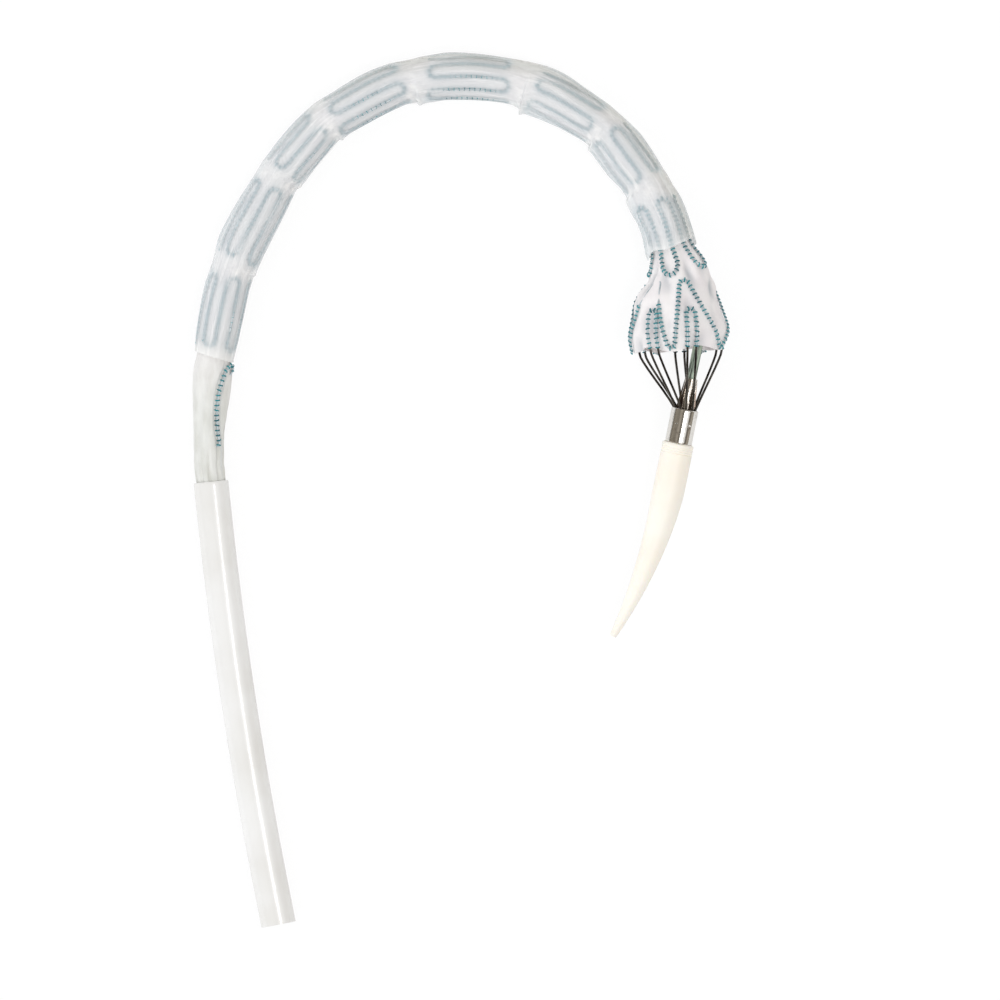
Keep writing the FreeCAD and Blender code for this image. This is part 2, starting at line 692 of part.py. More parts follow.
def model():
    parts = {
        "nose_cone": nose_cone(),
        "tip_capsule": tip_capsule(),
        "guidewire_tube": guide_tube(),
        "capture_hub": capture_hub(),
        "bare_spring": bare_spring(),
        "graft_fabric": graft_fabric(),
        "film_sleeve": film_sleeve(),
        "inner_shaft": inner_shaft(),
        "pusher_tube": pusher_tube(),
        "outer_sheath": outer_sheath(),
    }
    for index, ring in enumerate(stent_rings()):
        parts["stent_row_%02d" % (index + 1)] = ring
    return parts


def origin_of(parts):
    """Middle of the part's box, at its lowest level."""
    box = Part.makeCompound(list(parts.values())).optimalBoundingBox(True, False)
    return Vector((box.XMin + box.XMax) / 2, (box.YMin + box.YMax) / 2, box.ZMin)


PARTS = model()
ORIGIN = origin_of(PARTS)

os.makedirs("parts", exist_ok=True)
for name, shape in PARTS.items():
    shape.translate(ORIGIN * -1)
    shape.exportStep("parts/" + name + ".step")
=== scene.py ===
"""Looks of a thoracic stent graft on its delivery catheter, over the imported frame."""

import math

import bmesh
import bpy
import numpy as np
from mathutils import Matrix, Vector


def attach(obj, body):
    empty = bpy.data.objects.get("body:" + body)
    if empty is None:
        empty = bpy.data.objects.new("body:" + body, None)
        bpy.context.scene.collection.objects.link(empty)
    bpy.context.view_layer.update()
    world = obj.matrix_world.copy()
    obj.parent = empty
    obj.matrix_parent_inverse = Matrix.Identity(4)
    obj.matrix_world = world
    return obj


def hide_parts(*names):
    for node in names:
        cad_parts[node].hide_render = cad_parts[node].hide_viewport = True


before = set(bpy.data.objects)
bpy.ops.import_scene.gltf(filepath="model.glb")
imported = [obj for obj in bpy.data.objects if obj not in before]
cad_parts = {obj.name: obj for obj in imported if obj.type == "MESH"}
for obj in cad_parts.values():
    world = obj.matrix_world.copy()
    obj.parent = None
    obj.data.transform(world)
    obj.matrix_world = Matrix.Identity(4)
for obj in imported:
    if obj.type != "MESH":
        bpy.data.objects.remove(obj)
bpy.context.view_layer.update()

# Lengths in the tables are millimetres; meshes are made in metres
MM = 0.001
UP = np.array((0.0, 0.0, 1.0))

# The graft's axis, from the hem round the arch to the sheath's mouth
AXIS_POINTS = (
    (50.191, 33.628, 12.3),
    (49.492, 51.815, 11.448),
    (42.481, 69.797, 9.034),
    (33.055, 83.824, 6.62),
    (14.639, 93.493, 5.2),
    (-11.325, 94.853, 5.2),
    (-31.322, 85.444, 5.2),
    (-41.906, 72.785, 5.2),
    (-52.495, 51.359, 5.2),
    (-56.73, 31.608, 5.2),
    (-57.917, 13.246, 4.36),
    (-57.917, 6.646, 4.0),
    (-57.52, 2.666, 4.0),
)
ROW_BEND = 12.0
SHEATH_BEND = 980.0
SHEATH_ARC = 95.0
SHEATH_END = 8.0

# The catheter's front: the capsule's front edge, and its way forward
TIP = np.array((49.832, 11.516, 10.92))
FRONT = np.array((-0.197289, -0.978443, -0.061049))

FLARE = ((-3, 10.06), (0, 10.9), (2.5, 11.6), (5.3, 11.4), (8, 10.6), (11, 9.4), (14.4, 7.6))
NECK_RADIUS = 5.7
SLEEVE_STARTS = 3.9
GRAFT_IN_SHEATH = 22.0
FOLDS = 10
WIRE_RADIUS = 0.25
WIRE_SEAT = 0.38
SPRING_RADIUS = 0.275
SPRING_SEAT = 0.375
SPRING_APEXES = (76.0, 123.0, 218.0, 270.0, 325.0)
SLOT_ANGLE = 95.0
HOOK_RADIUS = 0.52
HOOK_OFF_AXIS = 2.15
PEG_SETBACK = 4.7
HOOK_LEG_ENDS = 6.2
WIRE_ENTERS_CAPSULE = 7.9
# A loop of the spring on the cloth: its end, half its angle, and places down its leg
LOOP_END = 8.2
HALF_LOOP = 5.5
LOOP_LEG = (-2.6, -0.5, 2.5, 5.3)

CLOSED_RINGS = (13.2, 15.6, 18.4, 17.6, 13.2, 18.2, 16.6)
FOLDED_RING_START = 1.8
FOLDED_RING_LENGTH = 19.0

# Stitches: pitch, reach and the thread's radius
COARSE_STITCH = (1.08, 0.46, 0.165)
FILM_STITCH = (1.2, 0.42, 0.11)
FOLD_STITCH = (1.15, 0.45, 0.17)
STITCH_DROP = 0.14
FILM_STITCH_DROP = 0.16

CAPSULE_LENGTH = 8.0
CAPSULE_RADIUS = 3.1
CAPSULE_BORE = 2.8
NOSE_LENGTH = 47.2
NOSE_BASE = 9.0
NOSE_BARREL = 12.0
NOSE_TIP = 3.2
NOSE_TURN = math.radians(16.6)
NOSE_RADIUS = 3.65
NOSE_TIP_RADIUS = 0.8
SHAFT_RADIUS = 1.1
SHAFT_BORE = 0.8
SHEATH_RADIUS = 4.0
SHEATH_BORE = 3.55
PUSHER_RADIUS = 3.2
PUSHER_BORE = 1.22


# ---- Paths ----


def unit(vector):
    return vector / np.linalg.norm(vector)


def cosine(degrees):
    return np.cos(np.radians(degrees))


def sine(degrees):
    return np.sin(np.radians(degrees))


def smooth(share):
    return share * share * (3 - 2 * share)


def turned(vector, axis, angle):
    """vector turned about axis by angle, in radians."""
    along = axis * np.dot(vector, axis)
    return along + (vector - along) * math.cos(angle) + np.cross(axis, vector) * math.sin(angle)


class Path:
    """Straight runs joined by tangent arcs."""

    def __init__(self, points, bend):
        self.pieces = []
        self.corners = []
        self.length = 0.0
        points = [np.array(point, float) for point in points]
        start = points[0]
        for before, here, after in zip(points, points[1:], points[2:]):
            coming, going = unit(here - before), unit(after - here)
            turn = math.acos(np.clip(np.dot(coming, going), -1, 1))
            trim = bend * math.tan(turn / 2)
            self.run(start, here - coming * trim)
            self.corners.append(self.length + bend * turn / 2)
            self.arc(coming, unit(np.cross(coming, going)), bend, turn)
            start = here + going * trim
        self.run(start, points[-1])

    def run(self, start, end):
        length = np.linalg.norm(end - start)
        self.pieces.append((self.length, start, unit(end - start), None, 0.0))
        self.length += length

    def arc(self, tangent, axis, radius, turn):
        start = self.at(self.length)[0]
        centre = start + np.cross(axis, tangent) * radius
        self.pieces.append((self.length, centre, start - centre, axis, radius))
        self.length += radius * turn

    def at(self, distance):
        """Point and tangent, going straight on past both ends."""
        piece = self.pieces[0]
        for candidate in self.pieces:
            if candidate[0] <= distance:
                piece = candidate
        past = distance - piece[0]
        if piece[3] is None:
            return piece[1] + piece[2] * past, piece[2]
        spoke = turned(piece[2], piece[3], past / piece[4])
        return piece[1] + spoke, unit(np.cross(piece[3], spoke))


def sides_of(tangent):
    """The directions at 0 and 90 degrees round an axis, seen looking back along it."""
    right = unit(np.cross(tangent, UP))
    return right, np.cross(right, tangent)


def spoke(tangent, angle):
    right, top = sides_of(tangent)
    return right * math.cos(math.radians(angle)) + top * math.sin(math.radians(angle))


AXIS = Path(AXIS_POINTS, ROW_BEND)
MOUTH = AXIS.length
FLARE_END = AXIS.corners[0]
KINKS = AXIS.corners[1:9]
WAIST = AXIS.corners[9]


def add_sheath_path(path):
    tangent = path.at(path.length)[1]
    path.arc(unit(tangent * (1, 1, 0)), UP, SHEATH_BEND, SHEATH_ARC / SHEATH_BEND)
    end, tangent = path.at(path.length)
    path.run(end, end + tangent * SHEATH_END)


add_sheath_path(AXIS)

# How far the rows bow out of the arch, and how far the film reaches from the axis on the arch's
# outside and inside
BOWS = ((12, 0), (18.2, 0.2), (22, 0.4), (28.5, 0.9), (33, 0.7), (37.6, 0.35), (41, 0.45), (45, 0.2),
        (51, 0), (54.6, -0.1), (58, 0.1), (63, 0.4), (68, 0.6), (72, 0.35), (75.4, 0), (79, 0.8), (84, 1.2),
        (88, 1.3), (93, 0.95), (97, 0.5), (101.3, 0.1), (105, 0.55), (110, 0.6), (116, 0.25), (120, 0),
        (139.7, 0), (148, 0.2), (154, 0.45), (158, 0.45), (163.6, 0), (168, 0.3), (178, 0.3), (184, 0.1),
        (190, 0), (200, 0))
FILM_OUTSIDE = ((20, 6.1), (26, 6.7), (33, 6.75), (37.6, 5.95), (43, 6.05), (49, 6), (54.6, 5.1), (58, 5.5),
                (63, 6.1), (69, 6.75), (72, 6.6), (75.4, 6.05), (79, 6.3), (84, 6.75), (88, 6.95),
                (94, 6.75), (98, 5.9), (101.3, 5.2), (105, 5.8), (110, 6.15), (116, 5.7), (120, 5.2),
                (123.3, 5.05), (129, 5.4), (134, 5.4), (139.7, 5.1), (143, 5.3), (148, 5.9), (154, 6.3),
                (158, 6.3), (163.6, 5.2), (168, 5.6), (175, 5.5), (181, 5.1), (184.4, 4.6))
FILM_INSIDE = ((20, 5.95), (24, 5.6), (28, 4.8), (31, 4.8), (34, 5.35), (36.6, 5.45), (38.2, 4.9),
               (41, 4.8), (45, 5.55), (50, 5.8), (53.6, 5.95), (55.2, 5), (58, 4.95), (64, 4.8), (69, 5.2),
               (72.4, 5.7), (74.8, 6.4), (75.4, 4.9), (78, 4.35), (84, 3.75), (88, 3.65), (93, 4.05),
               (97, 4.9), (100, 5.65), (101.8, 4.7), (104, 4.4), (110, 4.4), (116, 4.7), (119, 5.05),
               (122.2, 5.7), (123.9, 4.95), (129, 4.95), (135, 5.3), (138.7, 5.5), (140.2, 5), (148, 5.1),
               (158, 5), (162.6, 5.3), (164.1, 4.95), (168, 4.75), (181, 4.65), (184.4, 4.5))
# How much further the flare's cloth stands out on the right (0 degrees) and on the left (180 degrees)
FLARE_RIGHT = ((0, 0), (3.1, -0.35), (6.6, -0.9), (11.3, -0.2), (15.3, 1.3), (17.2, 1), (20.2, 0.3),
               (24, 0))
FLARE_LEFT = ((0, 0), (3.1, -0.4), (6.6, -0.4), (11.3, 0.9), (15.3, 0.4), (17.2, 0.3), (20.2, 1),
              (22.6, 0.3), (25, 0))


class Bowed:
    """The graft's axis, with its rows bowed out of the arch."""

    def at(self, distance):
        centre, tangent = AXIS.at(distance)
        return centre + sides_of(tangent)[0] * smooth_table(BOWS, distance), tangent


def smooth_table(table, place):
    """Value of a table of (place, value) pairs on a smooth curve through them."""
    places = np.array([entry[0] for entry in table])
    values = np.array([entry[1] for entry in table])
    slopes = np.gradient(values, places)
    index = int(np.clip(np.searchsorted(places, place) - 1, 0, len(table) - 2))
    width = places[index + 1] - places[index]
    share = float(np.clip((place - places[index]) / width, 0, 1))
    a, b = values[index], values[index + 1]
    c, d = slopes[index] * width, slopes[index + 1] * width
    return (a * (2 * share ** 3 - 3 * share ** 2 + 1) + c * (share ** 3 - 2 * share ** 2 + share)
            + b * (3 * share ** 2 - 2 * share ** 3) + d * (share ** 3 - share ** 2))


ROWS = Bowed()


# ---- Meshes ----


def add_object(name, data):
    piece = bpy.data.objects.new(name, data)
    bpy.context.scene.collection.objects.link(piece)
    return piece


def finish_mesh(name, vertices, faces, material, uvs=None, sharp=35.0):
    """A piece from vertices in millimetres, smooth but for its sharp edges."""
    mesh = bpy.data.meshes.new(name)
    mesh.from_pydata((np.asarray(vertices) * MM).tolist(), [], faces)
    if uvs is not None:
        layer = mesh.uv_layers.new(name="UVMap")
        layer.data.foreach_set("uv", np.asarray(uvs, np.float32).ravel())
    mesh.polygons.foreach_set("use_smooth", [True] * len(mesh.polygons))
    mesh.set_sharp_from_angle(angle=math.radians(sharp))
    mesh.materials.append(material)
    return add_object(name, mesh)


def skin(name, rings, places, material, across=None, sharp=40.0):
    """Skin over rings of points, the last joined to the first. places run along the UV map."""
    rings = np.asarray(rings, float)
    count, sides = rings.shape[:2]
    girth = across or math.tau * np.linalg.norm(rings[0] - rings[0].mean(0), axis=1).mean()
    faces, uvs = [], []
    for row in range(count):
        after = (row + 1) % count
        low, high = places[row], places[after]
        here, there = row * sides, after * sides
        for side in range(sides):
            beside = (side + 1) % sides
            faces.append((here + side, here + beside, there + beside, there + side))
            left, right = girth * side / sides, girth * (side + 1) / sides
            uvs += [(left, low), (right, low), (right, high), (left, high)]
    points = rings.reshape(-1, 3)
    corners = np.array([face[:3] for face in faces])
    middle = points.mean(0)
    a, b, c = (points[corners[:, index]] - middle for index in range(3))
    if np.einsum("ij,ij->i", a, np.cross(b, c)).sum() < 0:
        faces = [face[::-1] for face in faces]
        uvs = np.asarray(uvs).reshape(-1, 4, 2)[:, ::-1].reshape(-1, 2)
    return finish_mesh(name, points, faces, material, uvs, sharp)


def mark(piece, name, values):
    """Keeps a number on each point, for a material to read."""
    field = piece.data.attributes.new(name, "FLOAT", "POINT")
    field.data.foreach_set("value", np.asarray(values, np.float32).ravel())


def ring_on(path, place, radii):
    """Ring of points round a path; radii go round from the angle 0."""
    centre, tangent = path.at(place)
    right, top = sides_of(tangent)
    turn = np.linspace(0, math.tau, len(radii), endpoint=False)
    arms = np.outer(np.cos(turn), right) + np.outer(np.sin(turn), top)
    return centre + arms * np.asarray(radii)[:, None]


def lathe(name, path, outer, inner, sides, material):
    """Tube turned about a path, from (distance, radius) profiles, front to back."""
    profile = list(outer) + list(inner)[::-1]
    rings = [ring_on(path, place, np.full(sides, radius)) for place, radius in profile]
    return skin(name, rings, [place for place, radius in profile], material)


def spread(begin, end, step):
    return np.linspace(begin, end, max(2, int(round((end - begin) / step)) + 1))


# ---- Materials ----


class Number:
    """A shader socket that takes part in sums; each one adds its Math node."""

    def __init__(self, shader, socket):
        self.shader, self.socket = shader, socket

    def math(self, operation, *values):
        return self.shader.node("Math", {"operation": operation}, list(values))

    def __add__(self, other):
        return self.math("ADD", self, other)

    def __rsub__(self, other):
        return self.math("SUBTRACT", other, self)

    def __mul__(self, other):
        return self.math("MULTIPLY", self, other)

    __radd__ = __add__
    __rmul__ = __mul__

    def sine(self):
        return self.math("SINE", self)

    def between(self, low, high):
        """0 below low, 1 above high, smooth in between."""
        return self.shader.node(
            "MapRange",
            {"interpolation_type": "SMOOTHSTEP"},
            {"Value": self, "From Min": low, "From Max": high},
        )


class Shader:
    """A material's node tree round one Principled BSDF."""

    def __init__(self, name, tree=None):
        self.material = None
        if tree is None:
            self.material = bpy.data.materials.new(name)
            self.material.use_nodes = True
            tree = self.material.node_tree
        self.tree = tree
        self.tree.nodes.clear()

    def link(self, socket, value):
        if isinstance(value, Number):
            self.tree.links.new(value.socket, socket)
        else:
            socket.default_value = value

    def node(self, kind, settings=None, sockets=None, out=0):
        node = self.tree.nodes.new("ShaderNode" + kind)
        for name, value in (settings or {}).items():
            if name == "stops":
                ramp = node.color_ramp
                while len(ramp.elements) < len(value):
                    ramp.elements.new(0.5)
                for element, (place, colour) in zip(ramp.elements, value):
                    element.position, element.color = place, (*colour, 1.0)
            else:
                setattr(node, name, value)
        pairs = sockets.items() if isinstance(sockets, dict) else enumerate(sockets or [])
        for name, value in pairs:
            self.link(node.inputs[name], value)
        return Number(self, node.outputs[out] if node.outputs else None)

    def noise(self, where, scale, detail=3.0, stretch=None, roughness=0.5):
        if stretch is not None:
            where = self.node("VectorMath", {"operation": "MULTIPLY"}, [where, stretch])
        return self.node("TexNoise", {}, {"Vector": where, "Scale": scale, "Detail": detail,
                                                    "Roughness": roughness})

    def blend(self, share, first, second):
        """Mix of two colours."""
        return self.node("Mix", {"data_type": "RGBA"}, {0: share, 6: first, 7: second}, 2)

    def bump(self, height, distance, strength):
        return self.node("Bump", {}, {"Height": height, "Distance": distance, "Strength": strength})

    def place(self):
        return self.node("TexCoord", {}, {}, "Object")

    def uv(self):
        return self.node("TexCoord", {}, {}, "UV")

    def mark(self, name):
        """Number kept on the piece's points."""
        return self.node("Attribute", {"attribute_name": name}, {}, "Fac")

    def parts(self, vector):
        """The three numbers of a vector."""
        node = self.tree.nodes.new("ShaderNodeSeparateXYZ")
        self.link(node.inputs[0], vector)
        return [Number(self, socket) for socket in node.outputs]

    def surface(self, **sockets):
        names = {name.replace("_", " "): value for name, value in sockets.items()}
        shader = self.node("BsdfPrincipled", {}, names)
        self.node("OutputMaterial", {}, {"Surface": shader})
        return self.material


def rgb(red, green, blue):
    """Linear colour from screen values of 0 to 255."""
    values = [value / 255 for value in (red, green, blue)]
    return tuple(v / 12.92 if v <= 0.04045 else ((v + 0.055) / 1.055) ** 2.4 for v in values) + (1.0,)


def woven_polyester():
    """Plain weave on the UV map, whose units are millimetres; the folded end is greyer, and the creases get
    a painted shade.
    """
    shader = Shader("woven_polyester")
    across, along, _ = shader.parts(shader.uv())
    yarn = math.tau / 0.36
    weave = (across * yarn).sine() * (along * yarn).sine()
    slubs = shader.noise(shader.uv(), 0.9, 4.0, (1.0, 0.25, 1.0))
    clouds = shader.noise(shader.uv(), 0.16, 3.0)
    # Greyer towards the folded end
    toward_folded_end = along.between(170.0, 200.0)
    flare = shader.blend(clouds.between(0.35, 0.7), rgb(252, 248, 247), rgb(244, 238, 239))
    folded = shader.blend(clouds.between(0.35, 0.7), rgb(240, 240, 235), rgb(227, 227, 220))
    cloth = shader.blend(toward_folded_end, flare, folded)
    # Painted shade: the crease mark darkens the cloth to grey in its creases
    cloth = shader.blend(shader.mark("crease"), cloth, rgb(196, 199, 203))
    shade = (weave * 0.5 + 0.5).between(0.0, 0.5) * 0.7 + slubs * 0.3
    darker = shader.node("Mix", {"data_type": "RGBA", "blend_type": "MULTIPLY"},
                         {0: 1.0, 6: cloth,
                          7: shader.blend(shade, rgb(228, 228, 228), rgb(255, 255, 255))}, 2)
    height = weave * 0.5 + slubs * 0.6
    return shader.surface(Base_Color=darker, Roughness=0.82 + slubs * 0.12, Sheen_Weight=0.15,
                          Sheen_Roughness=0.5, Normal=shader.bump(height, 0.00005, 0.55))


def clear_film():
    """Milky film: bluish over the wires below, with a painted shade that makes it greyer on the outside of
    the arch, in long soft streaks.
    """
    shader = Shader("clear_film")
    streaks = shader.noise(shader.uv(), 0.55, 4.0, (1.5, 0.14, 1.0))
    haze = shader.noise(shader.place(), 70.0, 3.0)
    over_wires, outside, crease, inner_face = (
        shader.mark(name) for name in ("over_wires", "outside", "crease", "inner_face"))
    tint = shader.blend(haze.between(0.3, 0.75), rgb(252, 254, 255), rgb(240, 244, 246))
    # Painted shade: the outside mark turns the film greyer on the outside of the arch
    tint = shader.blend(outside * 0.9, tint, rgb(214, 213, 204))
    tint = shader.blend(over_wires * 0.5, tint, rgb(172, 196, 206))
    tint = shader.blend(streaks.between(0.50, 0.70) * 0.7, tint, rgb(254, 254, 254))
    tint = shader.blend(crease, tint, rgb(254, 252, 249))
    alpha = (0.46 + crease * 0.34 + streaks.between(0.5, 0.8) * 0.2) * (1.0 - inner_face * 0.9)
    return shader.surface(Base_Color=tint, Roughness=0.20 + haze * 0.14, IOR=1.4,
                          Specular_IOR_Level=0.35, Alpha=alpha,
                          Normal=shader.bump(streaks, 0.0003, 0.5))


def wire_metal(name, scale, tones, low, metallic, smoothest, range_of_roughness):
    shader = Shader(name)
    marks = shader.noise(shader.place(), scale, 4.0)
    colour = shader.blend(marks.between(low, 0.7), *tones)
    return shader.surface(Base_Color=colour, Metallic=metallic,
                          Roughness=smoothest + marks * range_of_roughness,
                          Normal=shader.bump(marks, 0.00002, 0.4))


def suture_thread():
    shader = Shader("suture_thread")
    strands = shader.noise(shader.place(), 2600.0, 3.0)
    tone = shader.noise(shader.place(), 260.0, 2.0)
    colour = shader.blend(tone.between(0.3, 0.7), rgb(18, 92, 104), rgb(44, 146, 154))
    colour = shader.blend(strands.between(0.45, 0.8) * 0.5, colour, rgb(104, 190, 194))
    return shader.surface(Base_Color=colour, Roughness=0.62 + strands * 0.2,
                          Normal=shader.bump(strands, 0.00004, 0.6))


def polished_steel():
    shader = Shader("polished_steel")
    turning = shader.noise(shader.uv(), 1.0, 5.0, (0.15, 26.0, 1.0))
    smudge = shader.noise(shader.place(), 620.0, 5.0, (1.0, 1.0, 1.0), 0.65)
    colour = shader.blend(turning, rgb(214, 211, 206), rgb(236, 233, 228))
    colour = shader.blend(smudge.between(0.52, 0.72) * 0.45, colour, rgb(128, 120, 108))
    return shader.surface(Base_Color=colour, Metallic=1.0, Roughness=0.08 + smudge * 0.08 + turning * 0.03,
                          Normal=shader.bump(turning, 0.000004, 0.5))


def hub_steel():
    """Brownish steel in lit and shaded copies: painted lighter near the catheter's axis as a highlight, and
    painted darker brown on the fins further out as shade.
    """
    shader = Shader("hub_steel")
    marks = shader.noise(shader.place(), 520.0, 5.0, (1.0, 0.2, 1.0))
    arm = shader.node("VectorMath", {"operation": "SUBTRACT"}, [shader.place(), tuple(TIP * MM)])
    arm = shader.node("VectorMath", {"operation": "CROSS_PRODUCT"}, [arm, tuple(FRONT)])
    off_axis = shader.node("VectorMath", {"operation": "LENGTH"}, [arm], "Value")
    # Painted light: a lighter steel near the axis as a highlight, and a dark brown steel on the fins as
    # shade
    core = shader.blend(marks.between(0.35, 0.65), rgb(128, 120, 112), rgb(214, 208, 200))
    fins = shader.blend(marks.between(0.35, 0.65), rgb(66, 54, 50), rgb(118, 106, 96))
    colour = shader.blend(off_axis.between(0.00148, 0.00156), core, fins)
    return shader.surface(Base_Color=colour, Metallic=1.0, Roughness=0.16 + marks * 0.16,
                          Normal=shader.bump(marks, 0.00002, 0.4))


def nose_plastic():
    shader = Shader("nose_plastic")
    clouds = shader.noise(shader.place(), 90.0, 4.0)
    grain = shader.noise(shader.place(), 2400.0, 3.0)
    colour = shader.blend(clouds.between(0.3, 0.7), rgb(253, 248, 238), rgb(251, 242, 229))
    return shader.surface(Base_Color=colour, Roughness=0.40 + grain * 0.16, Subsurface_Weight=0.15,
                          Subsurface_Radius=(0.004, 0.003, 0.002), Subsurface_Scale=0.3,
                          Normal=shader.bump(grain, 0.00002, 0.3))


def sheath_plastic():
    shader = Shader("sheath_plastic")
    clouds = shader.noise(shader.place(), 60.0, 3.0)
    drawn = shader.noise(shader.uv(), 0.7, 4.0, (3.2, 0.03, 1.0))
    colour = shader.blend(clouds.between(0.3, 0.7), rgb(240, 239, 237), rgb(231, 229, 225))
    return shader.surface(Base_Color=colour, Roughness=0.30 + drawn * 0.12, Coat_Weight=0.6,
                          Coat_Roughness=0.10, Normal=shader.bump(drawn, 0.00003, 0.3))


def shaft_plastic():
    shader = Shader("shaft_plastic")
    streaks = shader.noise(shader.uv(), 1.0, 5.0, (1.6, 0.09, 1.0))
    colour = shader.blend(streaks.between(0.44, 0.60), rgb(178, 194, 174), rgb(60, 68, 62))
    return shader.surface(Base_Color=colour, Roughness=0.34 + streaks * 0.2,
                          Normal=shader.bump(streaks, 0.00003, 0.4))


def pusher_plastic():
    shader = Shader("pusher_plastic")
    clouds = shader.noise(shader.place(), 120.0, 4.0)
    colour = shader.blend(clouds.between(0.3, 0.7), rgb(226, 226, 222), rgb(208, 208, 204))
    return shader.surface(Base_Color=colour, Roughness=0.42 + clouds * 0.12)


CLOTH = woven_polyester()
FILM = clear_film()
RING_WIRE = wire_metal("ring_wire", 900.0, (rgb(176, 190, 196), rgb(214, 222, 226)), 0.3, 0.45, 0.34, 0.2)
SPRING_WIRE = wire_metal("spring_wire", 260.0, (rgb(50, 46, 44), rgb(120, 116, 110)), 0.35, 1.0, 0.18, 0.15)
THREAD = suture_thread()
STEEL = polished_steel()
HUB_STEEL = hub_steel()
NOSE_PLASTIC = nose_plastic()
SHEATH_PLASTIC = sheath_plastic()
SHAFT_PLASTIC = shaft_plastic()
PUSHER_PLASTIC = pusher_plastic()


# ---- Woven graft ----


def ridge_table():
    table = list(FLARE) + [(FLARE_END, NECK_RADIUS), (FLARE_END + SLEEVE_STARTS, 4.4),
                          (FLARE_END + 7.0, 4.3)]
    for kink in KINKS:
        table += [(kink - 3.0, 4.25), (kink, 4.0), (kink + 3.0, 4.25)]
    table[-1] = (KINKS[-1] + 3.0, 4.25)
    table += [(WAIST, 3.4), (MOUTH - 4.0, 3.3), (MOUTH + 0.5, 3.25), (MOUTH + 3.0, 2.68),
              (MOUTH + 8.0, 2.62), (MOUTH + GRAFT_IN_SHEATH, 2.62)]
    return table


RIDGES = ridge_table()
DEPTHS = ((0.0, 0.0), (KINKS[-1] + 0.5, 0.0), (KINKS[-1] + 3.0, 0.75), (WAIST, 0.85), (MOUTH - 4.0, 0.8),
          (MOUTH + 1.0, 0.6), (MOUTH + GRAFT_IN_SHEATH, 0.6))


def flare_sides(place, angles):
    """What the sides of the flare add to the ridges."""
    aim = cosine(angles)
    return (smooth_table(FLARE_RIGHT, place) * np.clip(aim, 0, 1) ** 1.5
            + smooth_table(FLARE_LEFT, place) * np.clip(-aim, 0, 1) ** 1.5)


def in_fold(angles):
    """1 at the bottom of a fold, 0 on a ridge."""
    pitch = 360.0 / FOLDS
    place = np.mod(np.asarray(angles) + 90.0, pitch)
    share = np.clip(1 - np.minimum(place, pitch - place) / (pitch / 3), 0, 1)
    return smooth(share)


def cloth_radius(place, angles):
    depth = np.interp(place, *zip(*DEPTHS))
    return smooth_table(RIDGES, place) + flare_sides(place, angles) - depth * in_fold(angles)


def hem_setback(angles):
    """Lobes of the hem, deeper on top."""
    top = (1 + sine(angles)) / 2
    return -0.35 - 0.65 * top - (0.3 + 0.35 * top) * cosine(5 * (np.asarray(angles) - 101.0))


def zigzag(start, length, fronts, rears, halves):
    """(distance, angle) places along a ring's wire: straight legs between rounded peaks."""
    corners = []
    for index in range(len(fronts)):
        for peaks, half, end, sense in ((fronts, halves[0], start, -1),
                                        (rears, halves[1], start + length, 1)):
            bend = math.radians(half) * (smooth_table(RIDGES, end) + WIRE_SEAT)
            bow = []
            for turn in np.radians(np.linspace(0, 180, 9)):
                bow.append((end + sense * bend * (math.sin(turn) - 1),
                            peaks[index] - half * math.cos(turn)))
            corners.append(bow)
    places = []
    for index, bow in enumerate(corners):
        places += bow
        after = corners[(index + 1) % len(corners)][0]
        place, angle = bow[-1]
        sweep = (after[1] - angle) % 360.0
        for share in np.linspace(0, 1, 10)[1:-1]:
            places.append((place + (after[0] - place) * share, angle + sweep * share))
    return places


def even(first):
    return [first + 72.0 * index for index in range(5)]


def neck_row(row):
    """The loop seen at the middle of the neck reaches further out than the others."""
    return [(place - 1.2 * math.exp(-((angle % 360.0 - 105.0) / 20.0) ** 2)
             * min(1.0, max(0.0, (FLARE_END + 6.0 - place) / 6.0)), angle) for place, angle in row]


def down_fold(place):
    """Share of the folded ring's length that lies before a place."""
    return np.clip((place - KINKS[-1] - FOLDED_RING_START) / FOLDED_RING_LENGTH, 0, 1)


def fold_turn(share):
    """How far the folded ring is turned round the axis, along its length."""
    return -15.0 + 45.0 * (1 - share) ** 3 + 40.0 * share ** 2


def ring_places():
    flare_fronts = (33.0, 101.0, 177.0, 242.0, 298.0)
    flare_rears = (80.0, 129.0, 216.0, 270.0, 326.0)
    halves = (18.0, 18.0)
    rows = [zigzag(-0.9, 15.8, flare_fronts, flare_rears, (4.6, 8.0)),
            neck_row(zigzag(FLARE_END - 0.9, 16.4, even(105.0), even(141.0), halves))]
    for begin, end, length in zip(KINKS, KINKS[1:], CLOSED_RINGS):
        rows.append(zigzag((begin + end - length) / 2, length, even(105.0), even(141.0), halves))
    folded = zigzag(KINKS[-1] + FOLDED_RING_START, FOLDED_RING_LENGTH, even(-90.0), even(-54.0), halves)
    rows.append([(place, angle + fold_turn(down_fold(place))) for place, angle in folded])
    rows.append(zigzag(MOUTH + 3.0, 16.0, even(-90.0), even(-54.0), halves))
    return rows


RINGS = ring_places()


def distance_to_wires(places, angles, rows):
    """Rough distance on the cloth from each grid point to the nearest wire, in millimetres."""
    nearest = np.full((len(places), len(angles)), 99.0)
    for row in rows:
        dense = []
        for (a, b), (c, d) in zip(row, row[1:] + row[:1]):
            sweep = (d - b + 180.0) % 360.0 - 180.0
            dense += [(a + (c - a) * share, b + sweep * share) for share in (0.0, 0.33, 0.67)]
        dense = np.array(dense)
        for index, place in enumerate(places):
            near = dense[np.abs(dense[:, 0] - place) < 6.0]
            if len(near) == 0:
                continue
            radius = smooth_table(RIDGES, place)
            gap = (angles[:, None] - near[None, :, 1] + 180.0) % 360.0 - 180.0
            across = np.radians(gap) * radius
            reach = np.hypot(across, near[None, :, 0] - place).min(1)
            nearest[index] = np.minimum(nearest[index], reach)
    return nearest


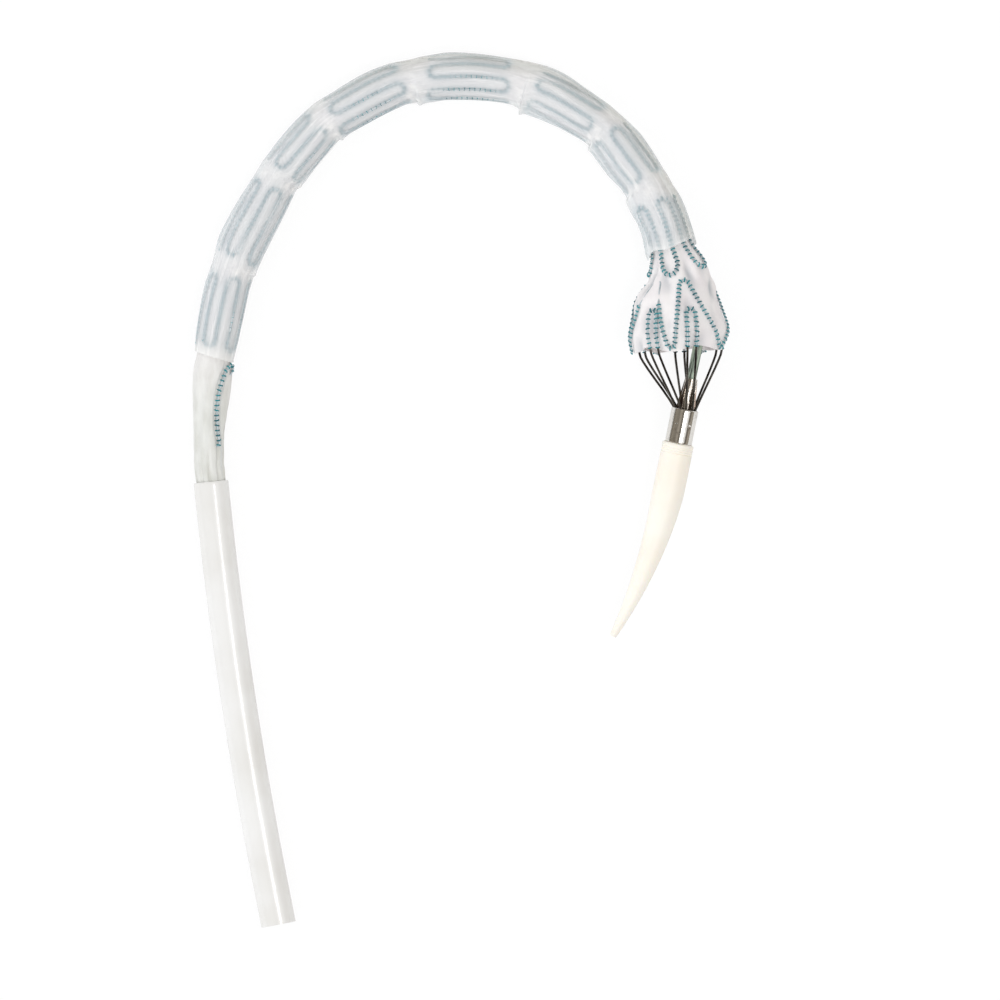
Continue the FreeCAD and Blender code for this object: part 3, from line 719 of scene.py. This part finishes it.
def ripple(places, angles, seed, across, along):
    """Smooth wandering between -1 and 1 over the cloth, with whole waves round the tube."""
    random = np.random.default_rng(seed)
    total = np.zeros((len(places), len(angles)))
    for _ in range(14):
        waves = random.integers(1, across)
        pitch = along * random.uniform(0.6, 1.8)
        turn, slide = random.uniform(0, math.tau, 2)
        total += np.sin(np.radians(angles)[None, :] * waves + turn
                        + math.tau * places[:, None] / pitch * random.choice((-1, 1)) + slide)
    return total / 5.3


def in_sight(place, angle):
    """1 where the folded ring shows between the laps of cloth: one leg, and the peak before it."""
    past = down_fold(place)
    low = 97.0 + fold_turn(past)
    high = np.where(past < 0.12, 146.0, 121.0) + fold_turn(past)
    share = np.clip(np.minimum(angle - low, high - angle) / 6.0 + 0.5, 0, 1) * (place > KINKS[-1] + 0.8)
    return smooth(share)


def lap_radius(places, angles):
    """What the laps of cloth add to the ridges."""
    ends = (KINKS[-1] + 0.5, KINKS[-1] + 2.5, MOUTH - 3.0, MOUTH + 1.0)
    lap = np.interp(places, ends, (0, 1, 1, 0))[:, None]
    seen = np.array([in_sight(place, angles) for place in places])
    soft = sine(angles * 3 + 40)[None, :] * 0.13 + np.sin(
        np.radians(angles * 7)[None, :] + places[:, None] * 0.2) * 0.07
    return lap * ((1 - seen) * (0.12 + soft) - seen * 0.1)


def woven_graft():
    sides = 144
    angles = np.linspace(0, 360, sides, endpoint=False)
    outer = np.concatenate((spread(0.0, FLARE_END + 6, 0.42)[:-1],
                            spread(FLARE_END + 6, KINKS[-1] - 1, 1.3)[:-1],
                            spread(KINKS[-1] - 1, MOUTH + 3, 0.5)[:-1], spread(MOUTH + 3, MOUTH + 22, 2.2)))
    near = distance_to_wires(outer, angles, RINGS)
    sag = 1 - np.exp(-(near / 2.2) ** 2)
    rumple = ripple(outer, angles, 4, 9, 9.0)
    fine = ripple(outer, angles, 9, 26, 3.4)
    laps = lap_radius(outer, angles)
    radii = np.array([cloth_radius(place, angles) for place in outer])
    depth = np.array([smooth_table(RIDGES, place) + flare_sides(place, angles) for place in outer]) - radii
    radii += depth * np.interp(outer, (MOUTH - 9.0, MOUTH - 1.0), (0.95, 0.35))[:, None] + laps
    loose = np.interp(outer, (0, FLARE_END, FLARE_END + 4, KINKS[-1], KINKS[-1] + 3, MOUTH, MOUTH + 2),
                      (0.7, 0.7, 0.12, 0.12, 0.0, 0.0, 0.0))[:, None]
    pleats = sine(angles * 9)[None, :] + 0.7 * sine(angles * 14 + 50)[None, :]
    pleats = pleats * np.exp(-((outer - 16.5) / 4.0) ** 2)[:, None]
    radii += -sag * loose + rumple * sag * loose * 0.85 + fine * 0.05 + pleats * 0.24
    tuck = np.exp(-((outer - 14.6) / 1.7) ** 2)[:, None] * np.exp(-((angles - 168.0) / 26.0) ** 2)[None, :]
    radii -= tuck * 0.9
    inner = np.concatenate((outer[outer < FLARE_END + 6], spread(FLARE_END + 7, MOUTH + 22, 3.0)))
    rings = [cloth_ring(place, row, angles) for place, row in zip(outer, radii)]
    for place in inner[::-1]:
        row = np.array([np.interp(place, outer, radii[:, side]) - 0.25 for side in range(sides)])
        rings.append(cloth_ring(place, row, angles))
    cloth = skin("graft_cloth", rings, list(outer) + list(inner[::-1]), CLOTH, 60.0, 50.0)
    # Painted shade: the crease mark darkens the cloth in the valleys of the rumples and pleats, in the tuck
    # and along the edges of the laps
    fold_shade = np.clip(-rumple * sag * 0.9 - pleats * 0.4 + tuck * 0.6, 0, 1)
    fold_shade *= np.interp(outer, (FLARE_END, FLARE_END + 3), (1, 0))[:, None]
    edges = np.clip(np.abs(np.gradient(laps, axis=1)) * 6.0, 0, 1) * 0.5
    mark(cloth, "crease", np.concatenate((fold_shade + edges, np.zeros((len(inner), sides)))))
    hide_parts("graft_fabric")
    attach(cloth, "catheter")


def cloth_ring(place, radii, angles):
    """Ring whose points are set back along the axis by the hem's lobes, which fade within 4 mm."""
    fade = max(0.0, 1 - place / 4.0)
    if fade == 0.0:
        return ring_on(ROWS, place, radii)
    shifted = place + hem_setback(angles) * fade
    radii = radii + [smooth_table(RIDGES, p) - smooth_table(RIDGES, place) for p in shifted]
    centre, tangent = ROWS.at(place)
    return ring_on(ROWS, place, radii) + tangent[None, :] * (shifted - place)[:, None]


woven_graft()


# ---- Film sleeve ----


def film_radii(places, angles):
    """A barrel over each row, stepped at the kinks inside the arch and taut across them outside."""
    bow = np.array([smooth_table(BOWS, place) for place in places])
    inner = np.interp(places, *zip(*FILM_INSIDE)) + bow
    outer = np.array([smooth_table(FILM_OUTSIDE, place) for place in places]) - bow
    outside = smooth(np.clip((cosine(angles) + 0.1) / 0.9, 0, 1))
    steps = np.interp(places, *zip(*[pair for kink in KINKS[:-1] for pair in (
        (kink - 3.0, 0.0), (kink - 0.8, 0.12), (kink + 0.4, -0.22), (kink + 3.0, 0.0))]))
    inner = inner[:, None] * 0.5 + 0.5 * (5.2 + steps[:, None]) + (inner[:, None] * 0.5 - 2.6) * np.clip(
        -cosine(angles) * 1.6, 0, 1)[None, :]
    return inner + (outer[:, None] - inner) * outside[None, :]


def film_sleeve():
    sides = 96
    angles = np.linspace(0, 360, sides, endpoint=False)
    steps = [kink + past for kink in KINKS[:-1] for past in (-0.75, -0.45, -0.15, 0.2, 1.0)]
    even_places = spread(FLARE_END + SLEEVE_STARTS, KINKS[-1] + 0.6, 0.75)
    outer = np.unique(np.concatenate((even_places, steps)).round(3))
    radii = film_radii(outer, angles)
    creases = ripple(outer, angles, 33, 20, 5.0)
    to_kink = np.min(np.abs(outer[:, None] - np.array(KINKS[:-1])[None, :]), 1)
    kinked = np.exp(-(to_kink / 2.6) ** 2)[:, None]
    inside = np.clip(0.35 - cosine(angles), 0, 1)[None, :]
    radii += kinked * (creases - 0.4) * (0.05 + 0.13 * inside) + ripple(outer, angles, 21, 14, 30.0) * 0.04
    radii = np.maximum(radii, np.interp(outer, (22.0, 25.0, 179.0, 184.4), (5.6, 5.02, 5.02, 4.5))[:, None])
    inner = outer[::2]
    ragged = ripple(outer[:1], angles, 12, 7, 30.0)[0] * 0.7 + 0.3
    slanted = -0.3 - 0.9 * cosine(angles)
    rings = []
    for place, row in list(zip(outer, radii)) + list(zip(inner[::-1], radii[::2][::-1] - 0.2)):
        tangent = ROWS.at(place)[1]
        shift = (ragged * max(0.0, 1 - (place - outer[0]) / 5.0)
                 + slanted * max(0.0, 1 - (outer[-1] - place) / 5.0))
        rings.append(ring_on(ROWS, place, row) + tangent[None, :] * shift[:, None])
    sleeve = skin("clear_sleeve", rings, list(outer) + list(inner[::-1]), FILM, 33.0, 60.0)
    near = distance_to_wires(outer, angles, RINGS[1:9])
    blank = np.zeros((len(inner), sides))
    mark(sleeve, "over_wires", np.concatenate((np.exp(-(near / 0.8) ** 2), blank)))
    # Painted shade on the outside of the arch, full up to 100 mm and gone by 140 mm
    outside = np.clip(cosine(angles) * 1.5 - 0.35, 0, 1)[None, :]
    fade = np.interp(outer, (0.0, 100.0, 123.0, 140.0), (1.0, 1.0, 0.4, 0.0))[:, None]
    mark(sleeve, "outside", np.concatenate((outside * fade, blank)))
    tail = np.interp(outer, (outer[-1] - 4.0, outer[-1] - 0.5), (0.0, 0.75))[:, None]
    tail = tail + np.interp(outer, (outer[0], outer[0] + 3.0), (0.5, 0.0))[:, None]
    milky = np.maximum(kinked * np.clip(creases * 0.7 + 0.25, 0, 1) * (0.4 + 0.6 * inside), tail)
    mark(sleeve, "crease", np.concatenate((milky, blank)))
    mark(sleeve, "inner_face", np.concatenate((np.zeros((len(outer), sides)), blank + 1)))
    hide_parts("film_sleeve")
    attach(sleeve, "catheter")


film_sleeve()


# ---- Wires and stitches ----


class Tree:
    """A Geometry Nodes tree with one geometry in and one out."""

    def __init__(self, name, inputs):
        self.tree = bpy.data.node_groups.new(name, "GeometryNodeTree")
        face = self.tree.interface
        face.new_socket("Geometry", in_out="INPUT", socket_type="NodeSocketGeometry")
        for label, kind, value in inputs:
            socket = face.new_socket(label, in_out="INPUT", socket_type="NodeSocket" + kind)
            if value is not None:
                socket.default_value = value
        face.new_socket("Geometry", in_out="OUTPUT", socket_type="NodeSocketGeometry")
        self.entry = self.tree.nodes.new("NodeGroupInput")
        self.exit = self.tree.nodes.new("NodeGroupOutput")

    def given(self, label):
        return self.entry.outputs[label]

    def add(self, kind, settings=None, sockets=None):
        node = self.tree.nodes.new(kind if kind.startswith("Function") else "GeometryNode" + kind)
        for name, value in (settings or {}).items():
            setattr(node, name, value)
        for name, value in (sockets or {}).items():
            if isinstance(value, bpy.types.NodeSocket):
                self.tree.links.new(value, node.inputs[name])
            else:
                node.inputs[name].default_value = value
        return node.outputs[0]

    def close(self, geometry, material):
        real = self.add("RealizeInstances", {}, {"Geometry": geometry})
        smooth = self.add("SetShadeSmooth", {}, {0: real})
        painted = self.add("SetMaterial", {}, {"Geometry": smooth, "Material": material})
        self.tree.links.new(painted, self.exit.inputs[0])
        return self.tree


def wire_tree():
    made = Tree("round_wire", (
        ("Wire radius", "Float", 0.00025), ("Sides", "Int", 9), ("Wire", "Material", None)))
    line = made.add("MeshToCurve", {}, {0: made.given("Geometry")})
    profile = made.add("CurvePrimitiveCircle", {}, {"Resolution": made.given("Sides"),
                                                               "Radius": made.given("Wire radius")})
    wire = made.add("CurveToMesh", {}, {"Curve": line, "Profile Curve": profile, "Fill Caps": True})
    return made.close(wire, made.given("Wire"))


def stitch_tree():
    """Stitches over a wire: a loop of thread across it at each pitch, each a little askew."""
    made = Tree("stitches", (
        ("Pitch", "Float", 0.0011), ("Reach", "Float", 0.0005), ("Thread radius", "Float", 0.0001),
        ("Seed", "Int", 3), ("Thread", "Material", None)))
    line = made.add("MeshToCurve", {}, {0: made.given("Geometry")})
    points = made.add("ResampleCurve", {"mode": "LENGTH"},
                      {"Curve": line, "Length": made.given("Pitch")})
    arch = made.add("CurveArc", {}, {"Resolution": 7, "Radius": made.given("Reach"),
                                         "Start Angle": math.radians(-8), "Sweep Angle": math.radians(196)})
    flat = made.add("Transform", {}, {"Geometry": arch, "Scale": (1.0, 0.76, 1.0)})
    strand = made.add("CurvePrimitiveCircle", {},
                      {"Resolution": 6, "Radius": made.given("Thread radius")})
    loop = made.add("CurveToMesh", {}, {"Curve": flat, "Profile Curve": strand, "Fill Caps": True})
    upright = made.add("Transform", {}, {"Geometry": loop, "Rotation": (math.pi / 2, 0, math.pi / 2)})
    tangent = made.add("InputTangent")
    outward = made.add("InputNamedAttribute", {"data_type": "FLOAT_VECTOR"}, {"Name": "outward"})
    along = made.add("FunctionNodeAlignRotationToVector", {"axis": "X"}, {"Vector": tangent})
    facing = made.add("FunctionNodeAlignRotationToVector", {"axis": "Z", "pivot_axis": "X"},
                      {"Rotation": along, "Vector": outward})
    sway = made.add("FunctionNodeRandomValue", {"data_type": "FLOAT_VECTOR"},
                    {0: (-0.12, -0.05, -0.26), 1: (0.12, 0.05, 0.26), "Seed": made.given("Seed")})
    tilt = made.add("FunctionNodeEulerToRotation", {}, {0: sway})
    turn = made.add("FunctionNodeRotateRotation", {"rotation_space": "LOCAL"}, {0: facing, 1: tilt})
    loops = made.add("InstanceOnPoints", {},
                     {"Points": points, "Instance": upright, "Rotation": turn})
    return made.close(loops, made.given("Thread"))


WIRE_TREE = wire_tree()
STITCH_TREE = stitch_tree()


def line_mesh(name, lines):
    """Lines of (point, outward) pairs as loose edges, with the outward direction kept on each point."""
    points, outwards, edges = [], [], []
    for pairs, closed in lines:
        first = len(points)
        points += [tuple(np.asarray(point) * MM) for point, outward in pairs]
        outwards += [tuple(outward) for point, outward in pairs]
        edges += [(first + index, first + index + 1) for index in range(len(pairs) - 1)]
        if closed:
            edges.append((first + len(pairs) - 1, first))
    mesh = bpy.data.meshes.new(name)
    mesh.from_pydata(points, edges, [])
    field = mesh.attributes.new("outward", "FLOAT_VECTOR", "POINT")
    field.data.foreach_set("vector", np.asarray(outwards, np.float32).ravel())
    return add_object(name, mesh)


def grown(name, lines, tree, body, slot, replaced=(), **inputs):
    """Runs a tree on lines, keeps the result as a plain mesh, and sets it on its body."""
    piece = line_mesh(name, lines)
    modifier = piece.modifiers.new("grow", "NODES")
    modifier.node_group = tree
    labels = {label.replace("_", " "): value for label, value in inputs.items()}
    for item in tree.interface.items_tree:
        if item.in_out == "INPUT" and item.name in labels:
            modifier[item.identifier] = labels[item.name]
    graph = bpy.context.evaluated_depsgraph_get()
    plain = bpy.data.meshes.new_from_object(piece.evaluated_get(graph))
    piece.modifiers.clear()
    piece.data = plain
    if replaced:
        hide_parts(*replaced)
    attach(piece, body)
    return piece


def tucked(place, angle):
    """Whether a place on the flare's ring is on the peak that a tuck of the cloth hides."""
    return 10.6 < place < 15.5 and 110.0 < angle % 360.0 < 150.0


def on_cloth(places, seat):
    """(point, outward) pairs at (distance, angle) places, at a height over the cloth's ridges."""
    pairs = []
    for place, angle in places:
        centre, tangent = ROWS.at(place)
        way = spoke(tangent, angle)
        sunk = 1.0 * (1 - float(in_sight(place, angle % 360.0))) if KINKS[-1] < place < MOUTH - 2 else 0.1
        if tucked(place, angle):
            sunk = 0.75
        height = smooth_table(RIDGES, place) + float(flare_sides(place, angle)) + seat - sunk + 0.1
        pairs.append((centre + way * height, way))
    return pairs


def sewing(name, lines, stitch, seed):
    pitch, reach, thread = stitch
    grown(name, lines, STITCH_TREE, "catheter", None, Pitch=pitch * MM, Reach=reach * MM,
          Thread_radius=thread * MM, Seed=seed, Thread=THREAD)


def seen_run(places):
    """The places of a row that are in sight, and whether they close: the tucked peak is left out."""
    hidden = [index for index, entry in enumerate(places) if tucked(*entry)]
    if not hidden:
        return places, True
    first = hidden[-1] + 1
    return [entry for entry in places[first:] + places[:first] if not tucked(*entry)], False


def stent_rows():
    for index, places in enumerate(RINGS):
        name = "%02d" % (index + 1)
        grown("ring_" + name, [(on_cloth(places, WIRE_SEAT), True)], WIRE_TREE, "catheter", "wire_metal",
              ("stent_row_" + name,), Wire_radius=WIRE_RADIUS * MM, Sides=9, Wire=RING_WIRE)
        name = "stitches_" + name
        if index < 2:
            seen, closed = seen_run(places)
            sewing(name + "_%d" % int(closed), [(on_cloth(seen, WIRE_SEAT - STITCH_DROP), closed)],
                   COARSE_STITCH, index)
        elif index < 9:
            sewing(name, [(on_cloth(places, WIRE_SEAT - FILM_STITCH_DROP), True)], FILM_STITCH, index)
        elif index == 9:
            seen = [entry for entry in places if in_sight(entry[0], entry[1] % 360.0) > 0.5]
            sewing(name, [(on_cloth(seen, WIRE_SEAT - STITCH_DROP), False)], FOLD_STITCH, index)


stent_rows()


def front_point(setback, angle, radius):
    way = spoke(FRONT * -1, angle)
    return TIP - FRONT * setback + way * radius, way


def rounded(pairs, times):
    """Cuts the corners of a closed line of (point, outward) pairs."""
    for _ in range(times):
        cut = []
        for (a, u), (b, v) in zip(pairs, pairs[1:] + pairs[:1]):
            cut += [(a * 0.75 + b * 0.25, u * 0.75 + v * 0.25), (a * 0.25 + b * 0.75, u * 0.25 + v * 0.75)]
        pairs = cut
    return pairs


def bare_spring():
    """One closed wire: loops sewn to the cloth, and loops over the pegs in the capsule."""
    pairs, sewn = [], []
    for index, apex in enumerate(SPRING_APEXES):
        bend = math.radians(HALF_LOOP) * (smooth_table(RIDGES, LOOP_END) + SPRING_SEAT)
        down = [(place, apex - HALF_LOOP) for place in LOOP_LEG]
        bow = [(LOOP_END + bend * (math.sin(turn) - 1), apex - HALF_LOOP * math.cos(turn))
               for turn in np.radians(np.linspace(0, 180, 9))]
        back = [(place, apex + HALF_LOOP) for place in LOOP_LEG[::-1]]
        loop = down + bow + back
        pairs += on_cloth(loop, SPRING_SEAT)
        sewn.append((on_cloth(loop[1:-1], SPRING_SEAT), False))
        slot = SLOT_ANGLE + 72.0 * index
        way, side = spoke(-FRONT, slot), spoke(-FRONT, slot + 90.0)
        hook = [(WIRE_ENTERS_CAPSULE, 0.0), (HOOK_LEG_ENDS, 0.0)]
        hook += [(PEG_SETBACK - HOOK_RADIUS * math.sin(math.radians(turn)), turn)
                 for turn in np.linspace(0, 180, 7)]
        hook += [(HOOK_LEG_ENDS, 180.0), (WIRE_ENTERS_CAPSULE, 180.0)]
        for setback, turn in hook:
            across = side * (-HOOK_RADIUS * math.cos(math.radians(turn)))
            pairs.append((TIP - FRONT * setback + way * HOOK_OFF_AXIS + across, way))
    grown("bare_spring_wire", [(rounded(pairs, 2), True)], WIRE_TREE, "catheter", "wire_metal",
          ("bare_spring",), Wire_radius=SPRING_RADIUS * MM, Sides=10, Wire=SPRING_WIRE)
    grown("spring_wrap", sewn, WIRE_TREE, "catheter", None, Wire_radius=0.30 * MM, Sides=9,
          Wire=RING_WIRE)
    sewing("spring_stitches", sewn, COARSE_STITCH, 40)


bare_spring()


# ---- Catheter ----


def straight(start, way, length):
    return Path([start, start + way * length], 1.0)


def steel_capsule():
    path = straight(TIP - FRONT * CAPSULE_LENGTH, FRONT, CAPSULE_LENGTH)
    outer = [(0.0, 2.88), (0.04, 2.98), (0.12, 3.05), (0.24, CAPSULE_RADIUS)]
    outer += [(place, CAPSULE_RADIUS) for place in spread(0.6, 7.6, 1.0)]
    outer += [(7.84, CAPSULE_RADIUS), (7.94, 3.07), (CAPSULE_LENGTH, 3.0)]
    inner = [(place, CAPSULE_BORE) for place in (0.1, 4.0, CAPSULE_LENGTH)]
    shell = lathe("steel_capsule", path, outer, inner, 96, STEEL)
    cutters = bmesh.new()
    for index in range(6):
        centre, way = front_point(4.5, 57.0 + 60.0 * index, 3.0)
        turn = Vector(way).to_track_quat("Z", "Y").to_matrix().to_4x4()
        turn.translation = Vector(centre) * MM
        bmesh.ops.create_cone(cutters, cap_ends=True, segments=16, radius1=0.1 * MM, radius2=0.1 * MM,
                              depth=1.0 * MM, matrix=turn)
        turn.translation = Vector(centre + way * 0.15) * MM
        bmesh.ops.create_cone(cutters, cap_ends=True, segments=24, radius1=0.08 * MM, radius2=0.76 * MM,
                              depth=0.42 * MM, matrix=turn)
    mesh = bpy.data.meshes.new("holes")
    cutters.to_mesh(mesh)
    cutters.free()
    tool = add_object("holes", mesh)
    cut = shell.modifiers.new("holes", "BOOLEAN")
    cut.object, cut.operation, cut.solver, cut.use_self = tool, "DIFFERENCE", "EXACT", True
    graph = bpy.context.evaluated_depsgraph_get()
    shell.data = bpy.data.meshes.new_from_object(shell.evaluated_get(graph))
    shell.modifiers.clear()
    bpy.data.objects.remove(tool)
    shell.data.set_sharp_from_angle(angle=math.radians(40))
    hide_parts("tip_capsule")
    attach(shell, "tip")


def nose_path():
    """Straight base, one bend and a short straight tip."""
    path = straight(TIP, FRONT, NOSE_BASE)
    bend = NOSE_LENGTH - NOSE_BASE - NOSE_TIP
    axis = unit(np.cross(np.cross(FRONT, UP), FRONT)) * -1
    path.arc(FRONT, axis, bend / NOSE_TURN, NOSE_TURN)
    start, tangent = path.at(path.length)
    path.run(start, start + tangent * NOSE_TIP)
    return path


def nose_radius(place):
    share = max(0.0, (place - NOSE_BARREL) / (NOSE_LENGTH - NOSE_BARREL))
    return NOSE_RADIUS - (NOSE_RADIUS - NOSE_TIP_RADIUS) * share ** 1.2


def nose():
    path = nose_path()
    outer = [(-3.0, 2.62), (-2.85, 2.77), (0.0, 2.77), (0.0, 3.2), (0.06, 3.36), (0.2, 3.52),
             (0.45, 3.63)]
    for ridge in (1.1, 1.7, 2.3):
        outer += [(ridge - 0.18, NOSE_RADIUS), (ridge - 0.08, 3.56),
                  (ridge, 3.48 if ridge == 2.3 else 3.55),
                  (ridge + 0.08, 3.56), (ridge + 0.18, NOSE_RADIUS)]
    outer += [(place, nose_radius(place)) for place in spread(3.2, 46.4, 0.9)]
    outer += [(46.8, 0.80), (47.05, 0.74), (NOSE_LENGTH, 0.62)]
    inner = [(-3.0, 0.78), (8.0, 0.78), (8.0, 0.5)] + [(place, 0.5) for place in spread(9.0, 46.9, 2.0)]
    inner += [(NOSE_LENGTH, 0.55)]
    cone = lathe("nose", path, outer, inner, 72, NOSE_PLASTIC)
    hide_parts("nose_cone")
    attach(cone, "tip")


def plain_tube(name, path, stations, radius, bore, sides, material):
    outer, inner = ([(place, size) for place in stations] for size in (radius, bore))
    return lathe(name, path, outer, inner, sides, material)


def shaft():
    start = TIP - FRONT * 9.0
    places = [start, TIP - FRONT * (22.6 + 4.6)]
    for past, offset in ((0.5, 2.6), (11.0, 0.6)):
        centre, tangent = AXIS.at(FLARE_END + past)
        places.append(centre + spoke(tangent, 0.0) * offset)
    path = Path(places + list(AXIS_POINTS[2:]), 20.0)
    add_sheath_path(path)
    stations = spread(0.0, path.length, 2.5)
    tube = plain_tube("inner_tube", path, stations, SHAFT_RADIUS, SHAFT_BORE, 24, SHAFT_PLASTIC)
    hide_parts("inner_shaft")
    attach(tube, "catheter")


def sheath():
    stations = spread(MOUTH + 0.8, AXIS.length, 1.6)
    lip = ((0.0, 3.72), (0.03, 3.82), (0.12, 3.93), (0.3, 3.99), (0.5, SHEATH_RADIUS))
    outer = [(MOUTH + past, radius) for past, radius in lip]
    outer += [(place, SHEATH_RADIUS) for place in stations]
    inner = [(MOUTH + 0.1, 3.6)]
    inner += [(place, SHEATH_BORE) for place in spread(MOUTH + 0.3, AXIS.length, 4.0)]
    tube = lathe("sheath_tube", AXIS, outer, inner, 96, SHEATH_PLASTIC)
    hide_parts("outer_sheath")
    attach(tube, "sheath")
    stations = spread(MOUTH + GRAFT_IN_SHEATH + 0.3, AXIS.length, 3.0)
    tube = plain_tube("pusher", AXIS, stations, PUSHER_RADIUS, PUSHER_BORE, 48, PUSHER_PLASTIC)
    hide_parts("pusher_tube")
    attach(tube, "catheter")


steel_capsule()
nose()
shaft()
sheath()

for node, material in (("capture_hub", HUB_STEEL), ("guidewire_tube", RING_WIRE)):
    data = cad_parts[node].data
    data.materials.clear()
    data.materials.append(material)


# ---- Floor, light and camera ----


def white_floor():
    shader = Shader("pale_floor")
    lit = shader.node("BsdfDiffuse", {}, {"Color": (0.93, 0.93, 0.93, 1.0)})
    white = shader.node("Emission", {}, {"Color": (1.0, 1.0, 1.0, 1.0), "Strength": 1.03})
    seen = shader.node("LightPath", {}, {}, "Is Camera Ray")
    mixed = shader.node("MixShader", {}, {0: seen * 0.86, 1: lit, 2: white})
    shader.node("OutputMaterial", {}, {"Surface": mixed})
    reach = 6000.0
    corners = [(x * reach, y * reach, -0.02) for x, y in ((-1, -1), (1, -1), (1, 1), (-1, 1))]
    floor = finish_mesh("floor", corners, [(0, 1, 2, 3)], shader.material)


def world_light():
    """White to the camera; a bright zenith and a darker horizon for what the metal mirrors."""
    world = bpy.data.worlds.new("studio")
    world.use_nodes = True
    bpy.context.scene.world = world
    shader = Shader("studio", world.node_tree)
    way = shader.node("TexCoord", {}, {}, "Generated")
    east, _, height = shader.parts(way)
    toward = height * 0.89 + east * 0.45
    glow = shader.node("ValToRGB", {"stops": [
        (0.0, (0.16, 0.14, 0.115)), (0.30, (0.17, 0.15, 0.122)), (0.45, (0.30, 0.27, 0.22)),
        (0.70, (0.22, 0.195, 0.16)), (0.84, (0.44, 0.40, 0.34)), (0.90, (0.15, 0.132, 0.108)),
        (0.945, (0.16, 0.14, 0.115)), (0.962, (1.0, 1.0, 1.0)), (1.0, (1.15, 1.15, 1.15))]},
        {"Fac": toward * 0.5 + 0.5})
    mirrored = shader.node("Background", {}, {"Color": glow, "Strength": 1.0})
    side = shader.blend(east * 0.5 + 0.5, (0.955, 0.975, 1.0, 1.0), (1.0, 0.98, 0.95, 1.0))
    soft = shader.node("Background", {}, {"Color": side, "Strength": 0.84 - east * 0.48})
    white = shader.node("Background", {}, {"Color": (1.0, 1.0, 1.0, 1.0), "Strength": 1.0})
    gloss = shader.node("LightPath", {}, {}, "Is Glossy Ray")
    seen = shader.node("LightPath", {}, {}, "Is Camera Ray")
    room = shader.node("MixShader", {}, {0: gloss, 1: soft, 2: mirrored})
    room = shader.node("MixShader", {}, {0: seen, 1: room, 2: white})
    shader.node("OutputWorld", {}, {"Surface": room})


def lamp(name, place, aim, size, power):
    data = bpy.data.lights.new(name, "AREA")
    data.shape, data.size, data.energy = "DISK", size, power
    piece = add_object(name, data)
    piece.location = place
    piece.rotation_euler = (Vector(aim) - Vector(place)).to_track_quat("-Z", "Y").to_euler()


def camera():
    data = bpy.data.cameras.new("camera")
    distance = 5.0
    data.sensor_width = 36.0
    data.lens = 36.0 * distance / 0.23
    data.clip_end = 50.0
    piece = add_object("camera", data)
    piece.location = (0.008906, -0.001562, distance)
    bpy.context.scene.camera = piece


white_floor()
world_light()
lamp("key", (0.30, -0.10, 0.95), (0.0, 0.02, 0.0), 0.34, 2.4)
camera()
bpy.context.scene.view_settings.view_transform = "Standard"
